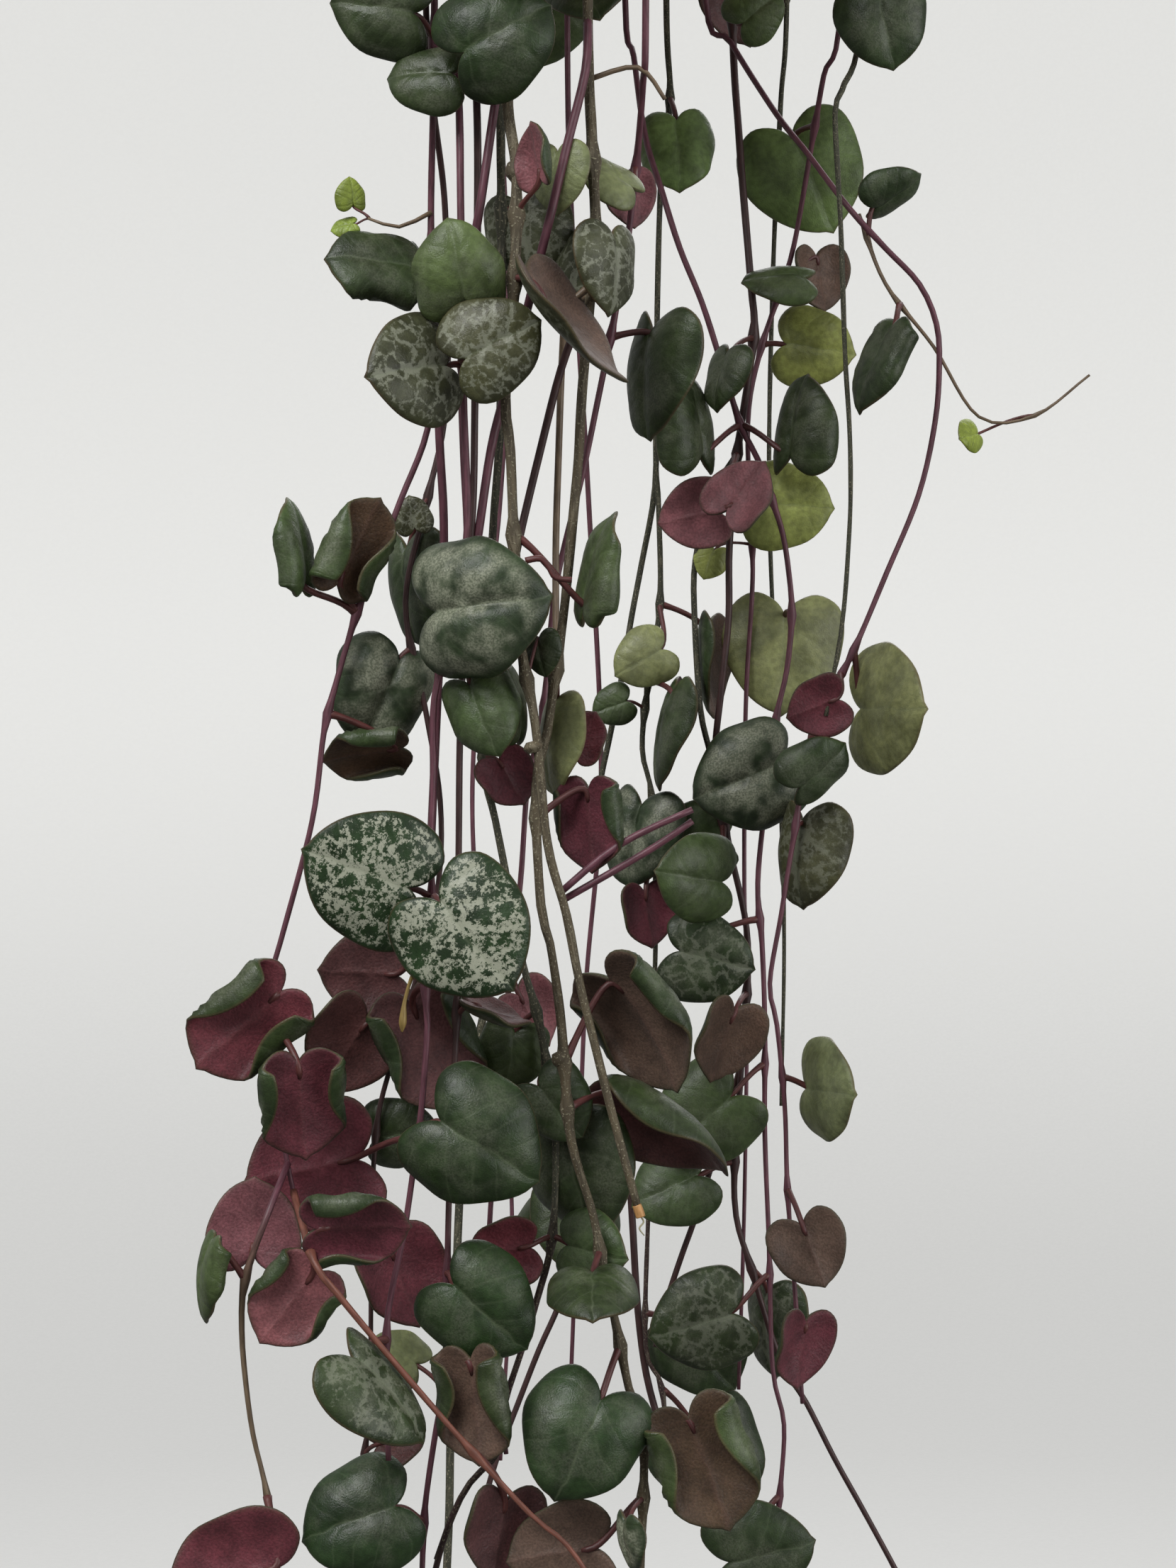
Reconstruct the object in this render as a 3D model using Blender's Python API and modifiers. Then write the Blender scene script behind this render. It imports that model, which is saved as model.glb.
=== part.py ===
"""Potted string of hearts: a small hanging pot on three wires and a hook, with long trailing strands.

Metres, +Z up. The origin is the point of the hook that bears on whatever carries it.
Each strand is one body: a stem, its side shoots, and heart-shaped leaves on short stalks.
"""

import math
import random
from collections import namedtuple

import bmesh
import bpy
from mathutils import Matrix, Vector
from mathutils.bvhtree import BVHTree

OBJECT_NAME = "potted_string_of_hearts"
MM = 0.001
SEED = 11

# Pot: a tapered tub with a flat rim flange
RIM_TOP = -0.225
POT_HEIGHT = 0.082
POT_BASE = RIM_TOP - POT_HEIGHT
RIM_RADIUS = 0.052
RIM_THICKNESS = 0.0025
POT_TOP_RADIUS = 0.045
POT_BASE_RADIUS = 0.036
POT_WALL = 0.0018
POT_FLOOR = 0.0025
POT_STEPS = 24
DRAIN_HOLES = 4
DRAIN_RADIUS = 0.0035
DRAIN_CIRCLE = 0.022

# Soil and the tubers that sit in it
SEAT_GAP = 0.0003
SOIL_DEPTH_BELOW_RIM = 0.009
SOIL_TOP = RIM_TOP - SOIL_DEPTH_BELOW_RIM
SOIL_MOUND = 0.002
STEM_HOLE_DEPTH = 0.012
STEM_HOLE_GAP = 0.0006
STEM_HOLE_SIDES = 6
STEM_SUNK = 0.010
TUBERS = ((0.003, -0.007, 0.0085), (-0.013, 0.009, 0.0068))

# Hanger: hook, hub and three wires
HOOK_WIRE_RADIUS = 0.0015
HOOK_INNER_RADIUS = 0.0085
HUB_TOP = -0.041
HUB_THICKNESS = 0.004
HUB_RADIUS = 0.013
HUB_HOLE_CIRCLE = 0.0085
WIRE_RADIUS = 0.0009
WIRE_HEAD_RADIUS = 0.0021
WIRE_HEAD_LENGTH = 0.0016
WIRE_HOLE_RADIUS = 0.0014
WIRE_RIM_CIRCLE = 0.0485
WIRE_AZIMUTHS = (110, 230, 350)

# The strands are laid out on a plane 0.1 mm to the unit, seen level from the front at this distance
VIEW_UNIT = 0.0001
VIEW_DISTANCE = 0.470
FRONT_PLANE = -0.045
VIEW_CENTRE_X = 0.006
VIEW_CENTRE_Z = POT_BASE - 0.140
VIEW_HALF_WIDTH = 829.5
VIEW_HALF_HEIGHT = 1106.0
VIEW_ROWS = (-60, 2192)

# Strands over the rim; a crest point is a radius, a height over the rim, and its shares of outset and lift
HANG_RADIUS = 0.0550
RIM_CREST = (
    (0.0505, 0.0034, 0.6, 0.6),
    (0.0543, 0.0002, 1.0, 0.3),
    (0.0552, -0.0070, 1.0, 0.0),
    (0.0555, -0.0300, 1.0, 0.0),
)
CREST_RISE = 0.004
FOOT_RADIUS = 0.034
FOOT_STAGGER = 0.0055
LIFT_STAGGER = 0.0018
FOOT_TURN = 0.2
FRONT_AZIMUTH = -90
SOIL_FAN = 2.1
DEPTH_SETTLED_AT = 330
STEM_STEP = 0.024
RIM_STEP = 0.0060
CURVE_STEPS = 24
THICK_STEM = 0.0007
LEAF_SPACING = 0.049
SHOOT_LEAF_SPACING = 0.030
SIDE_STEM_STEP = 0.012
SIDE_LEAF_SPACING = 0.028
SECOND_LEAF_SHARE = 0.45
LEAF_WIDTHS = (14, 18.5)

# Leaf blades
BLADE_THICKNESS = 0.0012
BLADE_CENTRE = 0.25
STALK_RADIUS = 0.00052
STALK_SHORTEST = 0.0015
STALK_LONGEST = 0.024
CLEARANCE = 0.00045
POT_KEEP_OFF = 0.006
RIM_KEEP_OFF = 0.0045
ROLLED = 1.35
HALF_OUTLINE = (
    (0.00, 0.00),
    (0.09, -0.12),
    (0.26, -0.19),
    (0.43, -0.10),
    (0.50, 0.11),
    (0.475, 0.33),
    (0.37, 0.54),
    (0.20, 0.70),
    (0.00, 0.78),
)
COARSE_STEPS = (0, 2, 4, 6, 8)
SMALL_STEPS = (0, 2, 5, 8)
SMALL_LEAF = 0.0160

Leaf = namedtuple("Leaf", "node across down width aim pitch turn roll curl colour nearer")
Strand = namedtuple("Strand", "name radius side low route branches leaves spacing outset bare")
Branch = namedtuple("Branch", "start radius depth route leaves")


def leaf(node, across, down, width, aim, pitch=0, turn=0, roll=0.6, curl=0.35, colour="dark", nearer=6):
    """A leaf by its place in the front view: the height of its node, its middle, its width in mm,
    the way its tip points, how far the tip leans to the viewer, and how far the blade is turned over."""
    return Leaf(node, across, down, width, aim, pitch, turn, roll, curl, colour, nearer)


def shoot(start, radius, depth, route, leaves=()):
    """A side shoot by the height where it leaves its stem and its depth behind the stem there, in mm."""
    return Branch(start, radius * MM, depth * MM, route, leaves)


def strand(
    name, radius, side, low, route, leaves, branches=(), spacing=LEAF_SPACING, outset=0, bare=VIEW_ROWS
):
    """side is -1 where it hangs from the front of the rim and 1 from the back; low is its depth further
    down, in mm, with the pot's axis at 0; outset is how far it hangs outside its neighbours; bare is the
    stretch of the front view in which it has only the leaves of its list."""
    return Strand(name, radius * MM, side, low * MM, route, branches, leaves, spacing, outset * MM, bare)


FRONT_STRANDS = (
    strand(
        "strand_front_brown", 0.95, -1, -61,
        [(738, -40), (716, 127), (728, 242), (726, 393), (713, 560), (720, 637), (726, 779), (736, 918),
         (755, 1021), (772, 1188), (799, 1290), (818, 1388), (842, 1485), (861, 1561), (900, 1705)],
        [
            leaf(300, 763, 225, 10, 100, 0, 122, 1.2, 0.3, "rose", 2),
            leaf(400, 786, 453, 24, -50, 0, 104, 0.5, 0.3, "bronze", 6),
            leaf(760, 832, 815, 18.5, 78, 0, -74, 1.5, 0.3, "green", -1),
            leaf(960, 762, 918, 7, -80, 0, 30, 0.8, 0.3, "dark", -6),
        ],
    ),
    strand(
        "strand_front_hearts", 0.65, -1, -57,
        [(641, -30), (648, 159), (650, 302), (654, 560), (659, 741), (640, 880), (613, 983), (611, 1098),
         (607, 1204), (609, 1269), (600, 1392), (603, 1446), (595, 1561), (589, 1607), (571, 1733),
         (553, 1820), (545, 1890), (548, 2060)],
        [
            leaf(1269, 530, 1236, 20.2, 160, 8, 0, 0.35, 0.25, "silver", 4),
            leaf(1269, 652, 1311, 20.5, -50, 6, 0, 0.35, 0.25, "silver", 7),
            leaf(864, 655, 856, 23.5, 7, 20, 0, 0.95, 0.8, "grey", 7),
            leaf(505, 690, 488, 15.5, 28, 0, 0, 0.6, 0.4, "veined", 6),
            leaf(505, 598, 519, 17.3, 193, 40, 0, 0.5, 0.4, "veined", 5),
            leaf(1607, 664, 1610, 21.5, -32, 0, 0, 0.75, 0.6, "dark", 8),
            leaf(1607, 452, 1645, 20, 192, 0, 180, 0.45, 0.2, "maroon", -12),
            leaf(1392, 598, 1462, 21, -68, 0, 168, 1.65, 0.3, "plum", -3),
            leaf(1890, 535, 1950, 19.5, -49, 0, -64, 0.8, 0.3, "faded", 4),
        ],
    ),
    strand(
        "strand_left_outer", 0.60, -1, -49,
        [(613, -20), (608, 298), (610, 500), (603, 606), (565, 706), (532, 791), (503, 866), (474, 964),
         (457, 1033), (440, 1160), (395, 1331), (368, 1427), (382, 1500), (405, 1638), (418, 1698)],
        [
            leaf(60, 546, 12, 15.5, 172, 0, 0, 0.8, 0.5, "dark", 4),
            leaf(95, 606, 104, 12.5, 178, 0, 20, 1.0, 0.3, "dark", 7),
            leaf(370, 545, 372, 16, 172, 0, 30, 1.5, 0.3, "dark", 3),
            leaf(390, 648, 388, 15.5, 102, 8, 0, 1.0, 0.6, "bright", 8),
            leaf(866, 426, 785, 15.5, 99, 0, 76, 1.8, 0.3, "green", 3),
            leaf(866, 492, 785, 17, 64, 0, -150, 2.0, 0.3, "olive_under", 2),
            leaf(1010, 528, 1056, 14, 188, 0, 132, 1.7, 0.3, "olive_under", -5),
            leaf(1427, 360, 1430, 20.5, 222, 0, 172, 1.8, 0.3, "maroon", 4),
            leaf(1427, 422, 1540, 18, -88, 0, 180, 1.6, 0.3, "maroon", 7),
        ],
        branches=[
            shoot(1640, 0.5, -6,
                  [(378, 1712), (346, 1804), (341, 1875), (347, 1953), (357, 2024), (373, 2090), (390, 2180)],
                  [
                      leaf(1804, 358, 1734, 14, 88, 0, 180, 0.5, 0.3, "rose", -3),
                      leaf(1804, 290, 1790, 14, 262, 0, 74, 1.5, 0.4, "green", 2),
                      leaf(2120, 345, 2216, 20, 186, 0, 180, 0.5, 0.3, "maroon", 3),
                  ]),
            shoot(1690, 0.55, -17,
                  [(443, 1780), (475, 1824), (553, 1918), (651, 2031), (749, 2137), (800, 2180), (856, 2262)],
                  [
                      leaf(1790, 488, 1727, 17, 2, 0, 208, 1.6, 0.3, "maroon", -9),
                      leaf(1790, 420, 1826, 15.5, 232, 0, 180, 1.5, 0.3, "rose", -8),
                      leaf(2040, 704, 2150, 14, -100, 0, 150, 0.8, 0.3, "plum", -12),
                  ]),
            shoot(300, 0.35, -1, [(563, 320), (519, 308)]),
        ],
    ),
    strand(
        "strand_front_second", 0.65, -1, -53,
        [(670, -25), (674, 238), (670, 560), (668, 695), (664, 760), (655, 900), (649, 1033), (647, 1208),
         (645, 1404), (641, 1511), (637, 1600), (633, 1702), (631, 1796), (628, 1933), (626, 1961),
         (616, 2012), (604, 2090), (598, 2149), (594, 2270)],
        [
            leaf(50, 694, 50, 18.5, 30, 0, 0, 0.9, 0.5, "dark", 7),
            leaf(930, 674, 997, 14, -68, 12, 14, 1.35, 0.4, "green", 5),
            leaf(1796, 672, 1843, 18, -42, 0, 0, 0.8, 0.5, "dark", 4),
            leaf(1420, 690, 1431, 11, -20, 0, 80, 0.6, 0.3, "plum", 2),
            leaf(1961, 568, 1912, 9, 150, 0, 30, 0.7, 0.3, "olive", -3),
            leaf(1961, 672, 1962, 19, -84, 0, 206, 1.9, 0.3, "bronze_under", 2),
            leaf(2149, 513, 2140, 18.5, 200, 0, 0, 0.8, 0.5, "dark", 6),
        ],
    ),
    strand(
        "strand_front_green", 0.75, -1, -47,
        [(706, -15), (707, 298), (708, 397), (705, 610), (695, 752), (690, 900), (682, 1068), (699, 1158),
         (714, 1234), (738, 1361), (757, 1427), (772, 1504), (784, 1600), (779, 1745), (757, 1835),
         (733, 1914), (712, 1980), (706, 2043), (663, 2092), (639, 2137), (616, 2200)],
        [
            leaf(302, 741, 325, 14, -80, 0, 15, 0.6, 0.3, "veined", -1),
            leaf(1068, 715, 1094, 9, -60, 0, 170, 0.7, 0.3, "maroon", 0),
            leaf(1068, 731, 1000, 12, 95, 0, 75, 0.6, 0.3, "rose", 0),
            leaf(1430, 722, 1484, 11, -100, 0, 0, 0.8, 0.3, "green", 0),
            leaf(1504, 779, 1556, 12, -50, 0, 10, 0.7, 0.3, "dark", 5),
            leaf(1504, 808, 1650, 19, -72, 0, 25, 0.8, 0.4, "dark", 8),
            leaf(1745, 717, 1763, 11, 190, 0, 180, 0.9, 0.3, "maroon", 0),
            leaf(1745, 826, 1763, 12, -10, 30, 0, 0.7, 0.3, "green", 0),
        ],
    ),
    strand(
        "strand_front_right", 0.90, -1, -55,
        [(829, -20), (835, 199), (841, 342), (833, 417), (821, 556), (816, 648), (807, 745), (795, 868),
         (784, 945), (772, 1033), (756, 1110), (763, 1277), (776, 1331), (790, 1427), (796, 1500),
         (806, 1610), (837, 1715), (851, 1791), (871, 1878), (887, 1958), (908, 2029), (903, 2240)],
        [
            leaf(220, 784, 244, 11, -92, 0, 40, 0.6, 0.3, "olive", 2),
            leaf(342, 822, 372, 13, -110, 0, 40, 0.6, 0.3, "veined", -3),
            leaf(342, 866, 370, 14, -90, 0, -50, 0.6, 0.3, "veined", -3),
            leaf(945, 776, 1040, 16, -92, 0, 68, 0.7, 0.3, "olive", -6),
            leaf(1150, 836, 1150, 15, -86, 0, 214, 1.5, 0.3, "maroon", -4),
            leaf(1500, 903, 1420, 24, -56, 0, 228, 1.5, 0.6, "bronze_under", -2),
            leaf(1560, 936, 1562, 24, -37, 0, -112, 1.44, 0.4, "dark", -8),
            leaf(1760, 836, 1812, 15, -90, 66, 0, 0.9, 0.3, "dark", 4),
            leaf(1900, 828, 2021, 20, -115, 10, 0, 0.8, 0.5, "dark", 4),
            leaf(2029, 988, 2046, 21.5, -70, 0, 212, 1.7, 0.3, "olive_under", 1),
            leaf(2120, 884, 2172, 9, -80, 0, 72, 0.8, 0.3, "grey", 6),
            leaf(2120, 800, 2188, 16, 188, 0, 180, 0.6, 0.3, "bronze_under", 0),
        ],
    ),
    strand(
        "strand_left_second", 0.55, -1, -43,
        [(600, -20), (628, 297), (630, 560), (604, 700), (572, 850), (600, 1000), (621, 1130), (618, 1250),
         (590, 1370), (552, 1500), (530, 1600), (524, 1773), (522, 1992), (514, 2051), (508, 2190)],
        [
            leaf(690, 573, 818, 17, -84, 0, 58, 0.8, 0.3, "dark", 0),
            leaf(690, 582, 730, 6, 100, 0, 0, 0.8, 0.3, "veined", 2),
            leaf(905, 548, 972, 18, 246, 0, -22, 1.2, 0.7, "grey", 4),
            leaf(1330, 525, 1372, 14, 176, 0, 175, 0.5, 0.3, "plum", 0),
            leaf(1440, 495, 1470, 15, -125, 0, 160, 0.7, 0.3, "plum", 0),
            leaf(1600, 560, 1600, 11, 10, 0, 10, 0.6, 0.3, "dark", -2),
            leaf(1773, 559, 1796, 15, -70, 0, 150, 0.8, 0.3, "maroon", -1),
            leaf(2051, 556, 2030, 9, 20, 0, 160, 0.7, 0.3, "plum", 0),
        ],
    ),
    strand(
        "strand_inner_purple", 0.60, -1, -39,
        [(911, -10), (907, 119), (897, 238), (883, 358), (865, 457), (841, 576), (822, 668), (784, 829),
         (765, 1014), (745, 1100), (734, 1246), (715, 1420), (700, 1600), (690, 1800), (714, 2051)],
        [
            leaf(238, 866, 250, 11, 150, 0, 50, 0.6, 0.3, "olive", 2),
            leaf(238, 884, 275, 9, -80, 0, 150, 0.6, 0.3, "rose", 4),
            leaf(470, 912, 515, 19.5, -94, 0, 62, 0.9, 0.3, "dark", 0),
            leaf(1000, 821, 1042, 8, 60, 0, 170, 0.7, 0.3, "maroon", 0),
            leaf(1380, 742, 1427, 11, -60, 0, 150, 0.7, 0.3, "rose", 0),
        ],
    ),
)

BACK_STRANDS = (
    strand(
        "strand_right_arc", 0.60, 1, 20,
        [(995, -10), (1031, 60), (1094, 159), (1138, 215), (1198, 294), (1249, 350), (1297, 401),
         (1321, 457), (1325, 517), (1319, 596), (1296, 698), (1250, 810), (1204, 918), (1146, 1037),
         (1120, 1180), (1102, 1290), (1086, 1388), (1096, 1446), (1107, 1560), (1111, 1679), (1122, 1830),
         (1132, 1980)],
        [
            leaf(330, 1258, 279, 10, 32, 0, 58, 1.3, 0.3, "dark", 2),
            leaf(417, 1238, 500, 16, -113, 0, 66, 1.6, 0.3, "dark", 6),
            leaf(918, 1236, 1000, 19.5, -2, 60, 0, 0.4, 0.3, "olive", 4),
            leaf(960, 1157, 994, 9.5, 200, 0, 170, 0.6, 0.3, "maroon", 6),
            leaf(1037, 1150, 1092, 11.5, 40, 0, 30, 1.3, 0.3, "dark", 5),
            leaf(1150, 1128, 1196, 16, -92, 0, 48, 1.0, 0.3, "bronze", 2),
            leaf(1527, 1155, 1538, 15.5, 0, 62, 0, 0.5, 0.3, "olive", 3),
            leaf(1679, 1142, 1756, 11.5, -70, 0, 180, 0.4, 0.2, "bronze_under", 5),
            leaf(1860, 1128, 1894, 12, -100, 0, 140, 0.7, 0.3, "maroon", 3),
        ],
        branches=[
            shoot(294, 0.36, -3,
                  [(1249, 400), (1317, 489), (1381, 588), (1460, 586), (1537, 529)],
                  [leaf(588, 1372, 614, 5.5, 200, 48, 0, 0.7, 0.3, "young", 1)]),
        ],
    ),
    strand(
        "strand_right_hearts", 0.62, 1, 33,
        [(882, 0), (894, 79), (910, 191), (935, 274), (959, 350), (991, 429), (1019, 517), (1045, 600),
         (1069, 648), (1088, 702), (1104, 752), (1113, 810), (1117, 868), (1110, 945), (1094, 1018),
         (1080, 1130), (1069, 1246), (1075, 1331), (1079, 1446), (1079, 1600), (1085, 1759), (1090, 1930),
         (1106, 2010), (1100, 2110), (1094, 2190)],
        [
            leaf(600, 986, 606, 15, 100, 0, 55, 1.3, 0.3, "dark", 5),
            leaf(600, 1118, 606, 15, 80, 0, -55, 1.3, 0.3, "dark", 5),
            leaf(700, 1104, 712, 13.5, -4, 6, 0, 0.6, 0.3, "lime", -4),
            leaf(868, 1106, 912, 18, -92, 0, 0, 0.5, 0.3, "olive", -6),
            leaf(1018, 1062, 1093, 17.5, 202, 0, 0, 0.85, 0.7, "grey", 8),
            leaf(1300, 992, 1350, 14, -14, 0, 0, 0.6, 0.3, "faded", 2),
            leaf(1500, 1001, 1573, 16, 220, 0, 0, 0.7, 0.3, "olive", -2),
            leaf(1800, 996, 1864, 15.5, 196, 0, 0, 0.6, 0.3, "faded", 3),
            leaf(2110, 1066, 2196, 16, 14, 0, 0, 0.6, 0.3, "dark", 2),
        ],
    ),
    strand(
        "strand_right_inner", 0.60, 1, 43,
        [(940, 0), (945, 139), (931, 286), (925, 620), (929, 714), (931, 852), (915, 960), (906, 1056),
         (920, 1129), (925, 1300), (920, 1500), (915, 1695), (911, 1898), (934, 1960), (945, 2110)],
        [
            leaf(150, 956, 200, 13.5, -88, 0, 0, 1.2, 0.3, "green", 4),
            leaf(852, 912, 928, 9.5, -150, 0, 0, 0.7, 0.3, "olive", 3),
            leaf(852, 994, 929, 15.5, -88, 0, 104, 0.9, 0.3, "bronze_under", 3),
            leaf(1000, 868, 995, 6.5, 200, 0, 0, 0.7, 0.3, "green", 3),
            leaf(960, 937, 1022, 17, -100, 0, 50, 0.9, 0.3, "dark", 7),
            leaf(1129, 895, 1172, 15, -100, 0, 40, 0.7, 0.3, "grey", 4),
            leaf(1200, 910, 1284, 10, -84, 0, 150, 0.8, 0.3, "maroon", 4),
            leaf(1850, 986, 1900, 15, -50, 0, 0, 0.7, 0.3, "dark", 2),
            leaf(1960, 1000, 2049, 18, -60, 0, 0, 0.7, 0.4, "dark", -4),
        ],
    ),
    strand(
        "strand_right_mid", 0.75, 1, 36,
        [(1033, 0), (1043, 199), (1059, 397), (1063, 477), (1040, 640), (1029, 770), (1028, 870),
         (1019, 960), (1008, 1090), (1030, 1200), (1055, 1331), (1046, 1500), (1036, 1690), (1060, 1790),
         (1101, 1918), (1137, 1978), (1177, 2057), (1217, 2129), (1262, 2212), (1290, 2270)],
        [
            leaf(30, 1065, 18, 9, 40, 0, 0, 0.6, 0.3, "bright", 4),
            leaf(477, 1018, 525, 10.5, 255, 0, 58, 0.7, 0.3, "dark", 3),
            leaf(640, 984, 727, 10.5, 192, 0, 175, 0.4, 0.2, "plum", 6),
            leaf(640, 1044, 700, 11, 52, 0, 150, 0.5, 0.2, "plum", 8),
            leaf(1150, 985, 1192, 13, 186, 0, 0, 0.7, 0.3, "green", -3),
            leaf(1170, 992, 1240, 14, 170, 30, 0, 0.7, 0.3, "green", 3),
            leaf(1400, 1020, 1458, 13, -110, 0, 140, 0.8, 0.3, "bronze_under", 2),
            leaf(1640, 954, 1672, 13, 205, 0, 20, 0.7, 0.3, "green", 3),
            leaf(1790, 1081, 1866, 15, -88, 0, 60, 0.7, 0.3, "faded", 3),
        ],
        outset=4,
    ),
    strand(
        "strand_far_right", 0.55, 1, 40,
        [(1186, 0), (1162, 107), (1146, 199), (1120, 346), (1098, 417), (1070, 505), (1055, 600),
         (1061, 768), (1061, 837), (1052, 1000), (1050, 1246), (1054, 1400), (1050, 1700), (1042, 1960)],
        [
            leaf(190, 1136, 235, 18.3, -66, 0, 0, 0.4, 0.3, "fresh", 5),
            leaf(417, 1106, 391, 11, 182, 0, 54, 0.9, 0.3, "green", 6),
            leaf(417, 1152, 388, 10, -84, 0, 148, 0.8, 0.3, "bronze_under", 3),
            leaf(480, 1140, 490, 12.5, -10, 16, 0, 0.6, 0.3, "lime", 2),
            leaf(775, 1003, 789, 5.5, 250, 0, 0, 0.7, 0.3, "lime", 2),
        ],
    ),
    strand(
        "strand_right_side", 0.60, 1, 14,
        [(1216, 0), (1188, 127), (1178, 159), (1186, 318), (1192, 497), (1198, 596), (1200, 675),
         (1198, 752), (1188, 880), (1165, 1010)],
        [
            leaf(35, 1246, 24, 13.8, -78, 0, 0, 0.5, 0.3, "dark", 4),
        ],
    ),
    strand("strand_back_1", 0.55, 1, 50,
           [(1110, 0), (1101, 151), (1090, 400), (1085, 700), (1096, 1000), (1106, 1300), (1102, 1560)], [],
           outset=3),
    strand("strand_back_2", 0.60, 1, 54,
           [(800, 0), (806, 300), (830, 700), (848, 1098), (826, 1400), (815, 1700), (800, 2080)], [],
           bare=(90, 1250)),
    strand("strand_back_3", 0.55, 1, 48,
           [(700, 0), (716, 400), (706, 700), (672, 1000), (668, 1200), (690, 1400), (722, 1700),
            (706, 2060)],
           [], bare=(90, 1300)),
)

SIDE_STRANDS = ((136, 62), (164, 84), (192, 70), (5, 66), (332, 74))


def seen(across, down, depth):
    """The point in space that lies at this place of the front view and at this depth."""
    reach = (VIEW_DISTANCE + depth - FRONT_PLANE) / VIEW_DISTANCE
    x = VIEW_CENTRE_X + (across - VIEW_HALF_WIDTH) * VIEW_UNIT * reach
    z = VIEW_CENTRE_Z + (VIEW_HALF_HEIGHT - down) * VIEW_UNIT * reach
    return Vector((x, depth, z))


def rim_depth(across, side, radius):
    """The depth at which a strand at this place of the front view hangs just outside the rim."""
    depth = side * radius
    for _ in range(8):
        x = seen(across, 0, depth).x
        depth = side * math.sqrt(max(radius * radius - x * x, 1e-6))
    return depth


def at_azimuth(azimuth, radius, z):
    return Vector((radius * math.cos(azimuth), radius * math.sin(azimuth), z))


def smooth_curve(points, step):
    """Points read from a smooth curve through the given points, closer together over the rim."""
    ends = [points[0] * 2 - points[1], *points, points[-1] * 2 - points[-2]]
    fine = []
    for a, b, c, d in zip(ends, ends[1:], ends[2:], ends[3:]):
        for i in range(CURVE_STEPS):
            t = i / CURVE_STEPS
            bend = (2 * a - 5 * b + 4 * c - d) * t**2
            twist = (3 * b - a - 3 * c + d) * t**3
            fine.append(0.5 * (2 * b + (c - a) * t + bend + twist))
    fine.append(points[-1])
    made = [fine[0]]
    travelled = 0.0
    for a, b in zip(fine, fine[1:]):
        travelled += (b - a).length
        wanted = min(step, RIM_STEP) if b.z > RIM_TOP - 0.012 else step
        if travelled >= wanted:
            made.append(b)
            travelled = 0.0
    if travelled > 0.4 * step:
        made.append(fine[-1])
    return made


def along(path):
    """Points every 2 mm or so along the straight runs of a stem."""
    made = []
    for a, b in zip(path, path[1:]):
        count = max(1, round((b - a).length / 0.002))
        made += [a.lerp(b, i / count) for i in range(count)]
    return made + [path[-1]]


def over_the_rim(azimuth, hang_radius, soil_azimuth, soil_radius, lift):
    """A stem's way out of its hole in the soil and over the rim flange."""
    foot = at_azimuth(soil_azimuth, soil_radius, SOIL_TOP)
    outset = hang_radius - HANG_RADIUS
    midway = 0.5 * (soil_radius + RIM_CREST[0][0]) - 0.5 * CREST_RISE
    crest = [
        at_azimuth(azimuth, radius + out_share * outset, RIM_TOP + height + lift_share * lift)
        for radius, height, out_share, lift_share in RIM_CREST
    ]
    return [
        foot - Vector((0, 0, STEM_SUNK)),
        foot + Vector((0, 0, 0.001)),
        foot + Vector((0, 0, 0.005)),
        at_azimuth(0.5 * (azimuth + soil_azimuth), midway, RIM_TOP + CREST_RISE + lift),
        *crest,
    ]


def strand_path(plan, index):
    """The points that a long strand's stem follows."""
    top = rim_depth(plan.route[0][0], plan.side, HANG_RADIUS + plan.outset)
    hanging = []
    for across, down in plan.route:
        share = min(1.0, max(0.0, down / DEPTH_SETTLED_AT))
        hanging.append(seen(across, down, top + (plan.low - top) * share * share * (3 - 2 * share)))
    azimuth = math.atan2(hanging[0].y, hanging[0].x)
    soil_azimuth = azimuth + FOOT_TURN
    if plan.side < 0:
        middle = math.radians(FRONT_AZIMUTH)
        soil_azimuth = middle + SOIL_FAN * (azimuth - middle)
    radius = math.hypot(hanging[0].x, hanging[0].y)
    stagger = index % 2
    foot_radius = FOOT_RADIUS - FOOT_STAGGER * stagger
    return over_the_rim(azimuth, radius, soil_azimuth, foot_radius, LIFT_STAGGER * stagger) + hanging


def side_path(azimuth_deg, length_mm, index):
    """A short young strand that hangs beside the pot."""
    azimuth = math.radians(azimuth_deg)
    foot_radius = FOOT_RADIUS - FOOT_STAGGER * (index % 2)
    start = over_the_rim(azimuth, HANG_RADIUS, azimuth + FOOT_TURN, foot_radius, 0.0)
    end = at_azimuth(azimuth + 0.05, HANG_RADIUS + 0.002, RIM_TOP - length_mm * MM)
    return start + [start[-1].lerp(end, 0.6), end]


def outline(width, steps):
    """The leaf's outline from the notch round by the tip, on the flat."""
    right = [Vector((HALF_OUTLINE[i][0], HALF_OUTLINE[i][1])) * width for i in steps]
    left = [Vector((-p.x, p.y)) for p in reversed(right[1:-1])]
    return right + left


def bent(x, y, above, width, roll, curl):
    """A point of the flat blade after its sides roll under and its length curls."""
    across = roll / (0.5 * width)
    along = curl / (0.5 * width)
    middle = 0.3 * width
    side = (1 / across + above) * math.sin(across * x)
    height = (1 / across + above) * math.cos(across * x) - 1 / across
    turned = along * (y - middle)
    return Vector((
        side,
        middle + (1 / along + height) * math.sin(turned),
        (1 / along + height) * math.cos(turned) - 1 / along,
    ))


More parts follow.
